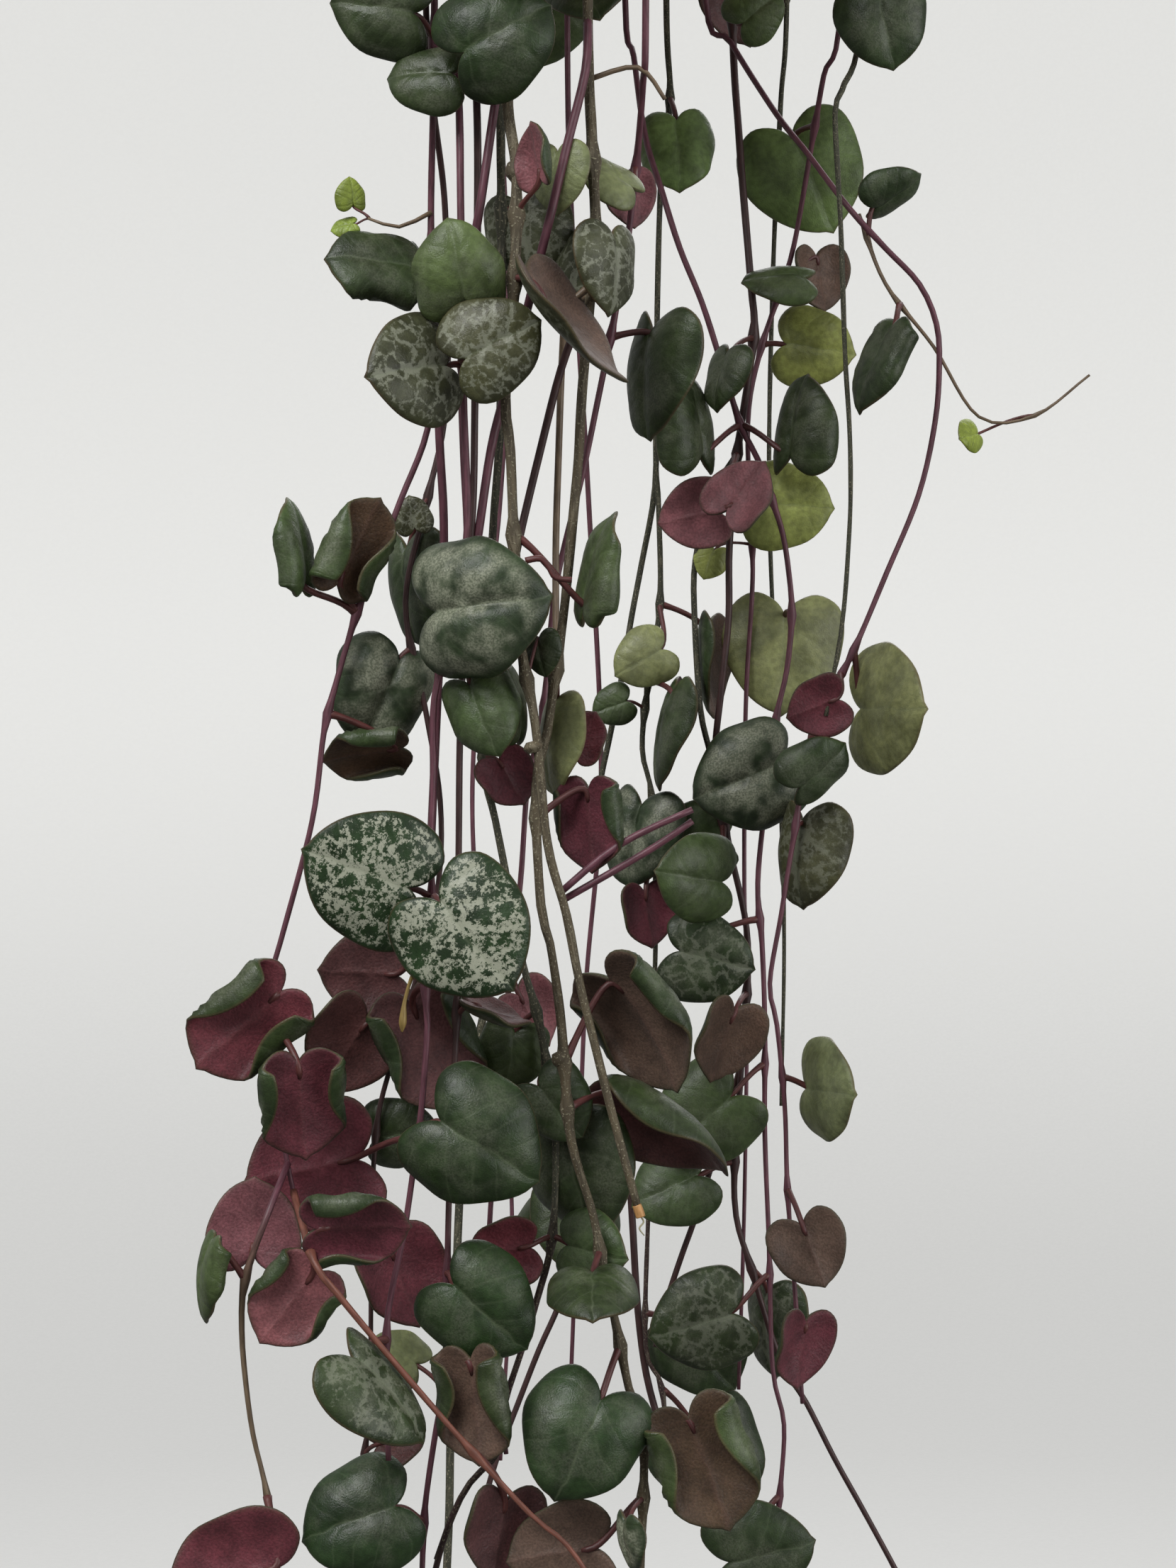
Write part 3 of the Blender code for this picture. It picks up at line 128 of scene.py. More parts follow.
# Strands over the rim; a crest point is a radius, a height over the rim, and its shares of outset and lift
HANG_RADIUS = 0.0550
RIM_CREST = (
    (0.0505, 0.0034, 0.6, 0.6),
    (0.0543, 0.0002, 1.0, 0.3),
    (0.0552, -0.0070, 1.0, 0.0),
    (0.0555, -0.0300, 1.0, 0.0),
)
CREST_RISE = 0.004
FOOT_RADIUS = 0.034
FOOT_STAGGER = 0.0055
LIFT_STAGGER = 0.0018
FOOT_TURN = 0.2
FRONT_AZIMUTH = -90
SOIL_FAN = 2.1
DEPTH_SETTLED_AT = 330
STEM_STEP = 0.024
RIM_STEP = 0.0060
RIM_REACH = 0.012
CURVE_STEPS = 24
LEAF_SPACING = 0.049
SHOOT_LEAF_SPACING = 0.030
SIDE_STEM_STEP = 0.012
SIDE_STEM_RADIUS = 0.0005
SIDE_LEAF_SPACING = 0.028
SECOND_LEAF_SHARE = 0.45
LEAF_WIDTHS = (14, 18.5)

# Leaf blades
BLADE_THICKNESS = 0.0012
BLADE_CENTRE = 0.25
CURL_MIDDLE = 0.3
STALK_RADIUS = 0.00052
STALK_ENTERS = 0.07
STALK_SHORTEST = 0.0015
STALK_LONGEST = 0.024
CLEARANCE = 0.00045
POT_KEEP_OFF = 0.006
RIM_KEEP_OFF = 0.0045
ROLLED = 1.35
HALF_OUTLINE = (
    (0.00, 0.00),
    (0.09, -0.12),
    (0.26, -0.19),
    (0.43, -0.10),
    (0.50, 0.11),
    (0.475, 0.33),
    (0.37, 0.54),
    (0.20, 0.70),
    (0.00, 0.78),
)
COARSE_STEPS = (0, 2, 4, 6, 8)
SMALL_STEPS = (0, 2, 5, 8)
SMALL_LEAF = 0.0160

# A leaf: the height of its node in the front view and the middle of its blade there, its width in mm, the
# way its tip points, how far its blade is turned over, its roll, its kind, how much nearer than its stem it
# is in mm, how far its tip leans to the viewer, and how far its length curls
Leaf = namedtuple("Leaf", "node across down width aim turn roll kind nearer pitch curl", defaults=(0, 0.3))
Strand = namedtuple("Strand", "name radius side low route leaves branches spacing outset bare")
Branch = namedtuple("Branch", "start radius depth route leaves")
Laid = namedtuple("Laid", "plan path branches fine fine_branches")
LONG_STRANDS = []


def shoot(start, radius, depth, route, leaves=()):
    """A side shoot by the height where it leaves its stem and its depth behind the stem there, in mm."""
    return Branch(start, radius * MM, depth * MM, route, [Leaf(*row) for row in leaves])


def strand(name, radius, side, low, route, leaves=(), branches=(), outset=0, bare=VIEW_ROWS):
    """A long stem by its way down the front view as (across, down), with its leaves and its side shoots.

    side is -1 where it hangs from the front of the rim and 1 from the back; low is its depth further down,
    in mm, with the pot's axis at 0; outset is how far it hangs outside its neighbours, in mm; bare is the
    stretch of the front view in which it has only these leaves.
    """
    facts = (name, radius * MM, side, low * MM, route, [Leaf(*row) for row in leaves], branches)
    LONG_STRANDS.append(Strand(*facts, LEAF_SPACING, outset * MM, bare))


# Strands that hang from the front of the rim
strand("strand_front_brown", 0.95, -1, -61, (
    (738, -40), (716, 127), (728, 242), (726, 393), (713, 560), (720, 637), (726, 779), (736, 918),
    (755, 1021), (772, 1188), (799, 1290), (818, 1388), (842, 1485), (861, 1561), (900, 1705),
), (
    (300, 763, 225, 10, 100, 122, 1.2, "rose", 2), (400, 786, 453, 24, -50, 104, 0.5, "bronze", 6),
    (760, 832, 815, 18.5, 78, -74, 1.5, "green", -1), (960, 762, 918, 7, -80, 30, 0.8, "dark", -6),
))
strand("strand_front_hearts", 0.65, -1, -57, (
    (641, -30), (648, 159), (650, 302), (654, 560), (659, 741), (640, 880), (613, 983), (611, 1098),
    (607, 1204), (609, 1269), (600, 1392), (603, 1446), (595, 1561), (589, 1607), (571, 1733), (553, 1820),
    (545, 1890), (548, 2060),
), (
    (1269, 530, 1236, 20.2, 160, 0, 0.35, "silver", 4, 8, 0.25),
    (1269, 652, 1311, 20.5, -50, 0, 0.35, "silver", 7, 6, 0.25),
    (864, 655, 856, 23.5, 7, 0, 0.95, "grey", 7, 20, 0.8),
    (505, 690, 488, 15.5, 28, 0, 0.6, "veined", 6, 0, 0.4),
    (505, 598, 519, 17.3, 193, 0, 0.5, "veined", 5, 40, 0.4),
    (1607, 664, 1610, 21.5, -32, 0, 0.75, "deep", 8, 0, 0.6),
    (1607, 452, 1645, 20, 192, 180, 0.45, "maroon", -12, 0, 0.2),
    (1392, 598, 1462, 21, -68, 168, 1.65, "plum", -3), (1890, 535, 1950, 19.5, -49, -64, 0.8, "faded", 4),
))
strand("strand_left_outer", 0.60, -1, -49, (
    (613, -20), (608, 298), (610, 500), (603, 606), (565, 706), (532, 791), (503, 866), (474, 964),
    (457, 1033), (440, 1160), (395, 1331), (368, 1427), (382, 1500), (405, 1638), (418, 1698),
), (
    (60, 546, 12, 15.5, 172, 0, 0.8, "dark", 4, 0, 0.5), (95, 606, 104, 12.5, 178, 20, 1.0, "dark", 7),
    (370, 545, 372, 16, 172, 30, 1.5, "dark", 3), (390, 648, 388, 15.5, 102, 0, 1.0, "bright", 8, 8, 0.6),
    (866, 426, 785, 15.5, 99, 76, 1.8, "green", 3), (866, 492, 785, 17, 64, -150, 2.0, "olive_under", 2),
    (1010, 528, 1056, 14, 188, 132, 1.7, "olive_under", -5),
    (1427, 360, 1430, 20.5, 222, 172, 1.8, "maroon", 4), (1427, 422, 1540, 18, -88, 180, 1.6, "maroon", 7),
), (
    shoot(1640, 0.5, -6, (
        (378, 1712), (346, 1804), (341, 1875), (347, 1953), (357, 2024), (373, 2090), (390, 2180),
    ), (
        (1804, 358, 1734, 14, 88, 180, 0.5, "rose", -3),
        (1804, 290, 1790, 14, 262, 74, 1.5, "green", 2, 0, 0.4),
        (2120, 345, 2216, 20, 186, 180, 0.5, "maroon", 3),
    )),
    shoot(1690, 0.55, -17, (
        (443, 1780), (475, 1824), (553, 1918), (651, 2031), (749, 2137), (800, 2180), (856, 2262),
    ), (
        (1790, 488, 1727, 17, 2, 208, 1.6, "maroon", -9),
        (1790, 420, 1826, 15.5, 232, 180, 1.5, "rose", -8),
        (2040, 704, 2150, 14, -100, 150, 0.8, "plum", -12),
    )),
    shoot(300, 0.35, -1, ((563, 320), (519, 308))),
))
strand("strand_front_second", 0.65, -1, -53, (
    (670, -25), (674, 238), (670, 560), (668, 695), (664, 760), (655, 900), (649, 1033), (647, 1208),
    (645, 1404), (641, 1511), (637, 1600), (633, 1702), (631, 1796), (628, 1933), (626, 1961), (616, 2012),
    (604, 2090), (598, 2149), (594, 2270),
), (
    (50, 694, 50, 18.5, 30, 0, 0.9, "deep", 7, 0, 0.5),
    (930, 674, 997, 14, -68, 14, 1.35, "green", 5, 12, 0.4),
    (1796, 672, 1843, 18, -42, 0, 0.8, "deep", 4, 0, 0.5), (1420, 690, 1431, 11, -20, 80, 0.6, "plum", 2),
    (1961, 568, 1912, 9, 150, 30, 0.7, "olive", -3),
    (1961, 672, 1962, 19, -84, 206, 1.9, "bronze_under", 2),
    (2149, 513, 2140, 18.5, 200, 0, 0.8, "deep", 6, 0, 0.5),
))
strand("strand_front_green", 0.75, -1, -47, (
    (706, -15), (707, 298), (708, 397), (705, 610), (695, 752), (690, 900), (682, 1068), (699, 1158),
    (714, 1234), (738, 1361), (757, 1427), (772, 1504), (784, 1600), (779, 1745), (757, 1835), (733, 1914),
    (712, 1980), (706, 2043), (663, 2092), (639, 2137), (616, 2200),
), (
    (302, 741, 325, 14, -80, 15, 0.6, "veined", -1), (1068, 715, 1094, 9, -60, 170, 0.7, "maroon", 0),
    (1068, 731, 1000, 12, 95, 75, 0.6, "rose", 0), (1430, 722, 1484, 11, -100, 0, 0.8, "green", 0),
    (1504, 779, 1556, 12, -50, 10, 0.7, "dark", 5), (1504, 808, 1650, 19, -72, 25, 0.8, "dark", 8, 0, 0.4),
    (1745, 717, 1763, 11, 190, 180, 0.9, "maroon", 0), (1745, 826, 1763, 12, -10, 0, 0.7, "green", 0, 30),
))
strand("strand_front_right", 0.90, -1, -55, (
    (829, -20), (835, 199), (841, 342), (833, 417), (821, 556), (816, 648), (807, 745), (795, 868),
    (784, 945), (772, 1033), (756, 1110), (763, 1277), (776, 1331), (790, 1427), (796, 1500), (806, 1610),
    (837, 1715), (851, 1791), (871, 1878), (887, 1958), (908, 2029), (903, 2240),
), (
    (220, 784, 244, 11, -92, 40, 0.6, "olive", 2), (342, 822, 372, 13, -110, 40, 0.6, "veined", -3),
    (342, 866, 370, 14, -90, -50, 0.6, "veined", -3), (945, 776, 1040, 16, -92, 68, 0.7, "olive", -6),
    (1150, 836, 1150, 15, -86, 214, 1.5, "maroon", -4),
    (1500, 903, 1420, 24, -56, 228, 1.5, "bronze_under", -2, 0, 0.6),
    (1560, 936, 1562, 24, -37, -112, 1.44, "dark", -8, 0, 0.4),
    (1760, 836, 1812, 15, -90, 0, 0.9, "dark", 4, 66),
    (1900, 828, 2021, 20, -115, 0, 0.8, "deep", 4, 10, 0.5),
    (2029, 988, 2046, 21.5, -70, 212, 1.7, "olive_under", 1), (2120, 884, 2172, 9, -80, 72, 0.8, "grey", 6),
    (2120, 800, 2188, 16, 188, 180, 0.6, "bronze_under", 0),
))
strand("strand_left_second", 0.55, -1, -43, (
    (600, -20), (628, 297), (630, 560), (604, 700), (572, 850), (600, 1000), (621, 1130), (618, 1250),
    (590, 1370), (552, 1500), (530, 1600), (524, 1773), (522, 1992), (514, 2051), (508, 2190),
), (
    (690, 573, 818, 17, -84, 58, 0.8, "dark", 0), (690, 582, 730, 6, 100, 0, 0.8, "veined", 2),
    (905, 548, 972, 18, 246, -22, 1.2, "grey", 4, 0, 0.7), (1330, 525, 1372, 14, 176, 175, 0.5, "plum", 0),
    (1440, 495, 1470, 15, -125, 160, 0.7, "plum", 0), (1600, 560, 1600, 11, 10, 10, 0.6, "dark", -2),
    (1773, 559, 1796, 15, -70, 150, 0.8, "maroon", -1), (2051, 556, 2030, 9, 20, 160, 0.7, "plum", 0),
))
strand("strand_inner_purple", 0.60, -1, -39, (
    (911, -10), (907, 119), (897, 238), (883, 358), (865, 457), (841, 576), (822, 668), (784, 829),
    (765, 1014), (745, 1100), (734, 1246), (715, 1420), (700, 1600), (690, 1800), (714, 2051),
), (
    (238, 866, 250, 11, 150, 50, 0.6, "olive", 2), (238, 884, 275, 9, -80, 150, 0.6, "rose", 4),
    (470, 912, 515, 19.5, -94, 62, 0.9, "dark", 0), (1000, 821, 1042, 8, 60, 170, 0.7, "maroon", 0),
    (1380, 742, 1427, 11, -60, 150, 0.7, "rose", 0),
))

# Strands that hang from the back of the rim
strand("strand_right_arc", 0.60, 1, 20, (
    (995, -10), (1031, 60), (1094, 159), (1138, 215), (1198, 294), (1249, 350), (1297, 401), (1321, 457),
    (1325, 517), (1319, 596), (1296, 698), (1250, 810), (1204, 918), (1146, 1037), (1120, 1180),
    (1102, 1290), (1086, 1388), (1096, 1446), (1107, 1560), (1111, 1679), (1122, 1830), (1132, 1980),
), (
    (330, 1258, 279, 10, 32, 58, 1.3, "dark", 2), (417, 1238, 500, 16, -113, 66, 1.6, "dark", 6),
    (918, 1236, 1000, 19.5, -2, 0, 0.4, "olive", 4, 60), (960, 1157, 994, 9.5, 200, 170, 0.6, "maroon", 6),
    (1037, 1150, 1092, 11.5, 40, 30, 1.3, "dark", 5), (1150, 1128, 1196, 16, -92, 48, 1.0, "bronze", 2),
    (1527, 1155, 1538, 15.5, 0, 0, 0.5, "olive", 3, 62),
    (1679, 1142, 1756, 11.5, -70, 180, 0.4, "bronze_under", 5, 0, 0.2),
    (1860, 1128, 1894, 12, -100, 140, 0.7, "maroon", 3),
), (
    shoot(294, 0.36, -3, (
        (1249, 400), (1317, 489), (1381, 588), (1460, 586), (1537, 529),
    ), (
        (588, 1372, 614, 5.5, 200, 0, 0.7, "young", 1, 48),
    )),
))
strand("strand_right_hearts", 0.62, 1, 33, (
    (882, 0), (894, 79), (910, 191), (935, 274), (959, 350), (991, 429), (1019, 517), (1045, 600),
    (1069, 648), (1088, 702), (1104, 752), (1113, 810), (1117, 868), (1110, 945), (1094, 1018),
    (1080, 1130), (1069, 1246), (1075, 1331), (1079, 1446), (1079, 1600), (1085, 1759), (1090, 1930),
    (1106, 2010), (1100, 2110), (1094, 2190),
), (
    (600, 986, 606, 15, 100, 55, 1.3, "dark", 5), (600, 1118, 606, 15, 80, -55, 1.3, "dark", 5),
    (700, 1104, 712, 13.5, -4, 0, 0.6, "lime", -4, 6), (868, 1106, 912, 18, -92, 0, 0.5, "olive", -6),
    (1018, 1062, 1093, 17.5, 202, 0, 0.85, "grey", 8, 0, 0.7),
    (1300, 992, 1350, 14, -14, 0, 0.6, "faded", 2), (1500, 1001, 1573, 16, 220, 0, 0.7, "green", -2),
    (1800, 996, 1864, 15.5, 196, 0, 0.6, "faded", 3), (2110, 1066, 2196, 16, 14, 0, 0.6, "dark", 2),
))
strand("strand_right_inner", 0.60, 1, 43, (
    (940, 0), (945, 139), (931, 286), (925, 620), (929, 714), (931, 852), (915, 960), (906, 1056),
    (920, 1129), (925, 1300), (920, 1500), (915, 1695), (911, 1898), (934, 1960), (945, 2110),
), (
    (150, 956, 200, 13.5, -88, 0, 1.2, "fresh", 4), (852, 912, 928, 9.5, -150, 0, 0.7, "olive", 3),
    (852, 994, 929, 15.5, -88, 104, 0.9, "bronze_under", 3), (1000, 868, 995, 6.5, 200, 0, 0.7, "green", 3),
    (960, 937, 1022, 17, -100, 50, 0.9, "dark", 7), (1129, 895, 1172, 15, -100, 40, 0.7, "grey", 4),
    (1200, 910, 1284, 10, -84, 150, 0.8, "maroon", 4), (1850, 986, 1900, 15, -50, 0, 0.7, "dark", 2),
    (1960, 1000, 2049, 18, -60, 0, 0.7, "dark", -4, 0, 0.4),
))
strand("strand_right_mid", 0.75, 1, 36, (
    (1033, 0), (1043, 199), (1059, 397), (1063, 477), (1040, 640), (1029, 770), (1028, 870), (1019, 960),
    (1008, 1090), (1030, 1200), (1055, 1331), (1046, 1500), (1036, 1690), (1060, 1790), (1101, 1918),
    (1137, 1978), (1177, 2057), (1217, 2129), (1262, 2212), (1290, 2270),
), (
    (30, 1065, 18, 9, 40, 0, 0.6, "bright", 4), (477, 1018, 525, 10.5, 255, 58, 0.7, "dark", 3),
    (640, 984, 727, 10.5, 192, 175, 0.4, "rose", 6, 0, 0.2),
    (640, 1044, 700, 11, 52, 150, 0.5, "rose", 8, 0, 0.2), (1150, 985, 1192, 13, 186, 0, 0.7, "green", -3),
    (1170, 992, 1240, 14, 170, 0, 0.7, "green", 3, 30),
    (1400, 1020, 1458, 13, -110, 140, 0.8, "bronze_under", 2),
    (1640, 954, 1672, 13, 205, 20, 0.7, "green", 3), (1790, 1081, 1866, 15, -88, 60, 0.7, "faded", 3),
), outset=4)
strand("strand_far_right", 0.55, 1, 40, (
    (1186, 0), (1162, 107), (1146, 199), (1120, 346), (1098, 417), (1070, 505), (1055, 600), (1061, 768),
    (1061, 837), (1052, 1000), (1050, 1246), (1054, 1400), (1050, 1700), (1042, 1960),
), (
    (190, 1136, 235, 18.3, -66, 0, 0.4, "fresh", 5), (417, 1106, 391, 11, 182, 54, 0.9, "green", 6),
    (417, 1152, 388, 10, -84, 148, 0.8, "bronze_under", 3),
    (480, 1140, 490, 12.5, -10, 0, 0.6, "lime", 2, 16), (775, 1003, 789, 5.5, 250, 0, 0.7, "lime", 2),
))
strand("strand_right_side", 0.60, 1, 14, (
    (1216, 0), (1188, 127), (1178, 159), (1186, 318), (1192, 497), (1198, 596), (1200, 675), (1198, 752),
    (1188, 880), (1165, 1010),
), (
    (35, 1246, 24, 13.8, -78, 0, 0.5, "dark", 4),
))
strand("strand_back_1", 0.55, 1, 50, (
    (1110, 0), (1101, 151), (1090, 400), (1085, 700), (1096, 1000), (1106, 1300), (1102, 1560),
), outset=3)
strand("strand_back_2", 0.60, 1, 54, (
    (800, 0), (806, 300), (830, 700), (848, 1098), (826, 1400), (815, 1700), (800, 2080),
), bare=(90, 1250))
strand("strand_back_3", 0.55, 1, 48, (
    (700, 0), (716, 400), (706, 700), (672, 1000), (668, 1200), (690, 1400), (722, 1700), (706, 2060),
), bare=(90, 1300))

# Short strands beside the pot and behind it, out of the front view: azimuth in degrees and length in mm
SIDE_STRANDS = ((136, 62), (164, 84), (192, 70), (5, 66), (332, 74))


def seen(across, down, depth):
    """The point in space that lies at this place of the front view and at this depth."""
    reach = (VIEW_DISTANCE + depth - FRONT_PLANE) / VIEW_DISTANCE
    x = VIEW_CENTRE_X + (across - VIEW_HALF_WIDTH) * VIEW_UNIT * reach
    z = VIEW_CENTRE_Z + (VIEW_HALF_HEIGHT - down) * VIEW_UNIT * reach
    return Vector((x, depth, z))


def rim_depth(across, side, radius):
    """The depth at which a strand at this place of the front view hangs just outside the rim."""
    depth = side * radius
    for _ in range(8):
        x = seen(across, 0, depth).x
        depth = side * sqrt(max(radius * radius - x * x, 1e-6))
    return depth


def at_azimuth(azimuth, radius, z):
    return Vector((radius * cos(azimuth), radius * sin(azimuth), z))


def catmull(a, b, c, d, t):
    """A point between b and c on a smooth curve through four points."""
    return 0.5 * (2 * b + (c - a) * t + (2 * a - 5 * b + 4 * c - d) * t**2 + (3 * b - a - 3 * c + d) * t**3)


def spans(points, before=None, after=None):
    """Each stretch of a path as the four points that a smooth curve through them takes."""
    before = before or points[0] * 2 - points[1]
    ends = [before, *points, after or points[-1] * 2 - points[-2]]
    return zip(ends, ends[1:], ends[2:], ends[3:])


def smooth_curve(points, step):
    """Points read from a smooth curve through the given points, closer together over the rim."""
    fine = [catmull(*span, i / CURVE_STEPS) for span in spans(points) for i in range(CURVE_STEPS)]
    fine.append(points[-1])
    made = [fine[0]]
    travelled = 0.0
    for a, b in zip(fine, fine[1:]):
        travelled += (b - a).length
        wanted = min(step, RIM_STEP) if b.z > RIM_TOP - RIM_REACH else step
        if travelled >= wanted:
            made.append(b)
            travelled = 0.0
    if travelled > 0.4 * step:
        made.append(fine[-1])
    return made


def evened(points, step):
    """Points along a smooth curve through the given ones, all about one step apart."""
    made = []
    for span in spans(points):
        count = max(2, round((span[2] - span[1]).length / step))
        made += [catmull(*span, i / count) for i in range(count)]
    return made + [points[-1]]


def along(path):
    """Points every 2 mm or so along the straight runs of a stem."""
    made = []
    for a, b in zip(path, path[1:]):
        count = max(1, round((b - a).length / (2 * MM)))
        made += [a.lerp(b, i / count) for i in range(count)]
    return made + [path[-1]]


def over_the_rim(azimuth, hang_radius, soil_azimuth, soil_radius, lift):
    """A stem's way out of its hole in the soil and over the rim flange."""
    foot = at_azimuth(soil_azimuth, soil_radius, SOIL_TOP)
    outset = hang_radius - HANG_RADIUS
    midway = 0.5 * (soil_radius + RIM_CREST[0][0]) - 0.5 * CREST_RISE
    crest = [
        at_azimuth(azimuth, radius + out_share * outset, RIM_TOP + height + lift_share * lift)
        for radius, height, out_share, lift_share in RIM_CREST
    ]
    return [
        foot - Vector((0, 0, STEM_SUNK)),
        foot + Vector((0, 0, 0.001)),
        foot + Vector((0, 0, 0.005)),
        at_azimuth(0.5 * (azimuth + soil_azimuth), midway, RIM_TOP + CREST_RISE + lift),
        *crest,
    ]


def strand_path(plan, index):
    """The points that a long strand's stem follows."""
    top = rim_depth(plan.route[0][0], plan.side, HANG_RADIUS + plan.outset)
    hanging = []
    for across, down in plan.route:
        share = min(1.0, max(0.0, down / DEPTH_SETTLED_AT))
        hanging.append(seen(across, down, top + (plan.low - top) * share * share * (3 - 2 * share)))
    azimuth = atan2(hanging[0].y, hanging[0].x)
    soil_azimuth = azimuth + FOOT_TURN
    if plan.side < 0:
        middle = radians(FRONT_AZIMUTH)
        soil_azimuth = middle + SOIL_FAN * (azimuth - middle)
    radius = hypot(hanging[0].x, hanging[0].y)
    stagger = index % 2
    foot_radius = FOOT_RADIUS - FOOT_STAGGER * stagger
    return over_the_rim(azimuth, radius, soil_azimuth, foot_radius, LIFT_STAGGER * stagger) + hanging


def side_path(azimuth_deg, length_mm, index):
    """A short young strand that hangs beside the pot."""
    azimuth = radians(azimuth_deg)
    foot_radius = FOOT_RADIUS - FOOT_STAGGER * (index % 2)
    start = over_the_rim(azimuth, HANG_RADIUS, azimuth + FOOT_TURN, foot_radius, 0.0)
    end = at_azimuth(azimuth + 0.05, HANG_RADIUS + 0.002, RIM_TOP - length_mm * MM)
    return start + [start[-1].lerp(end, 0.6), end]


def outline(width, steps):
    """The leaf's outline from the notch round by the tip, on the flat."""
    right = [Vector((HALF_OUTLINE[i][0], HALF_OUTLINE[i][1])) * width for i in steps]
    left = [Vector((-p.x, p.y)) for p in reversed(right[1:-1])]
    return right + left


def bent(x, y, above, width, roll, curl):
    """A point of the flat blade after its sides roll under and its length curls."""
    across = roll / (0.5 * width)
    along = curl / (0.5 * width)
    middle = CURL_MIDDLE * width
    side = (1 / across + above) * sin(across * x)
    height = (1 / across + above) * cos(across * x) - 1 / across
    turned = along * (y - middle)
    return Vector((
        side,
        middle + (1 / along + height) * sin(turned),
        (1 / along + height) * cos(turned) - 1 / along,
    ))


def disc_faces(rings, count):
    """The faces of a disc from its middle corner out, over rings of this many corners."""
    faces = []
    for i in range(count):
        after = (i + 1) % count
        faces.append((0, 1 + i, 1 + after))
        for ring in range(rings - 1):
            a, b = 1 + ring * count + i, 1 + ring * count + after
            faces.append((a, a + count, b + count, b))
    return faces


def blade(width, roll, curl, swell=0.0):
    """Corners and faces of one blade, its notch at the origin, its tip on +Y and its upper face on +Z."""
    rings = 2 if abs(roll) > ROLLED else 1
    edge = outline(width + 2 * swell, COARSE_STEPS if width > SMALL_LEAF else SMALL_STEPS)
    count = len(edge)
    heart = Vector((0, BLADE_CENTRE * width))
    flat = [heart]
    for ring in range(1, rings + 1):
        flat += [heart.lerp(p, ring / rings) for p in edge]
    half = 0.5 * BLADE_THICKNESS + swell
    points = [bent(p.x, p.y, half, width, roll, curl) for p in flat]
    points += [bent(p.x, p.y, -half, width, roll, curl) for p in flat]
    under = len(flat)
    upper = [(face[0], *pair) for face in disc_faces(rings, count) for pair in zip(face[1:], face[2:])]
    faces = upper + [tuple(under + corner for corner in reversed(face)) for face in upper]
    last = 1 + (rings - 1) * count
    for i in range(count):
        a, b = last + i, last + (i + 1) % count
        faces += [(a, under + a, under + b), (a, under + b, b)]
    return points, faces


def frame_of(tip, normal):
    """The turn that sends a leaf's +Y to its tip and its +Z to the way its upper face looks."""
    y = tip.normalized()
    z = (normal - y * normal.dot(y)).normalized()
    return Matrix((y.cross(z), y, z)).transposed()


def facing(aim, pitch, turn):
    """A leaf's frame from the way it looks in the front view."""
    lean = radians(pitch)
    angle = radians(aim)
    tip = Vector((cos(angle) * cos(lean), -sin(lean), sin(angle) * cos(lean)))
    basis = frame_of(tip, Vector((0, -1, 0)))
    return basis @ Matrix.Rotation(radians(turn), 3, "Y")


def stalk_frame(start, end):
    """The placing of a unit-length cone that runs between two points."""
    way = end - start
    turn = way.to_track_quat("Z", "Y").to_matrix().to_4x4()
    return Matrix.Translation(start.lerp(end, 0.5)) @ turn


def read_out(work, moved=Vector.copy):
    """A working mesh's corners, each moved by a rule, and its faces."""
    points = [moved(vert.co) for vert in work.verts]
    faces = [tuple(vert.index for vert in face.verts) for face in work.faces]
    work.free()
    return points, faces


def rod(start, end, radius, sides):
    """Corners and faces of a straight stalk."""
    work = bmesh.new()
    bmesh.ops.create_cone(
        work, cap_ends=True, cap_tris=False, segments=sides, radius1=radius, radius2=radius,
        depth=(end - start).length, matrix=stalk_frame(start, end),
    )
    return read_out(work)


def ball(subdivisions, moved):
    """Corners and faces of a round ball, each corner moved by a rule."""
    work = bmesh.new()
    bmesh.ops.create_icosphere(work, subdivisions=subdivisions, radius=1.0)
    return read_out(work, moved)


def tube_faces(rings, sides):
    """The faces of a round skin over this many rings of corners, and of its two ends."""
    faces = []
    for i in range(rings - 1):
        for k in range(sides):
            a, b = i * sides + k, i * sides + (k + 1) % sides
            faces.append((a, b, b + sides, a + sides))
    return faces + [tuple(reversed(range(sides))), tuple(range((rings - 1) * sides, rings * sides))]


def way_at(path, i):
    """The direction of a path at one of its points."""
    return (path[min(i + 1, len(path) - 1)] - path[max(i - 1, 0)]).normalized()


def tube(path, radius, sides, thin=0.6):
    """Corners and faces of a stem that thins towards its end."""
    points = []
    for i, centre in enumerate(path):
        way = way_at(path, i)
        one = way.cross(Vector((0.31, 1, 0.17))).normalized()
        two = way.cross(one)
        share = radius * (1 - (1 - thin) * i / (len(path) - 1))
        for k in range(sides):
            angle = tau * k / sides
            points.append(centre + one * (share * cos(angle)) + two * (share * sin(angle)))
    return points, tube_faces(len(path), sides)


def box_of(points):
    """The lowest and the highest corner of the box round these points."""
    return [[pick(p[i] for p in points) for i in range(3)] for pick in (min, max)]


class Room:
    """The space that is taken, so that each new leaf is turned or moved clear of all the others."""

    def __init__(self):
        self.taken = []

    def take(self, shape, owner):
        self.taken.append((BVHTree.FromPolygons(*shape), *box_of(shape[0]), owner))

    def free(self, shape, allowed=()):
        low, high = box_of(shape[0])
        tree = None
        for other, other_low, other_high, owner in self.taken:
            if owner in allowed or any(low[i] > other_high[i] or high[i] < other_low[i] for i in range(3)):
                continue
            tree = tree or BVHTree.FromPolygons(*shape)
            if tree.overlap(other):
                return False
        return True


def placed(shape, basis, origin):
    points, faces = shape
    return [basis @ p + origin for p in points], faces


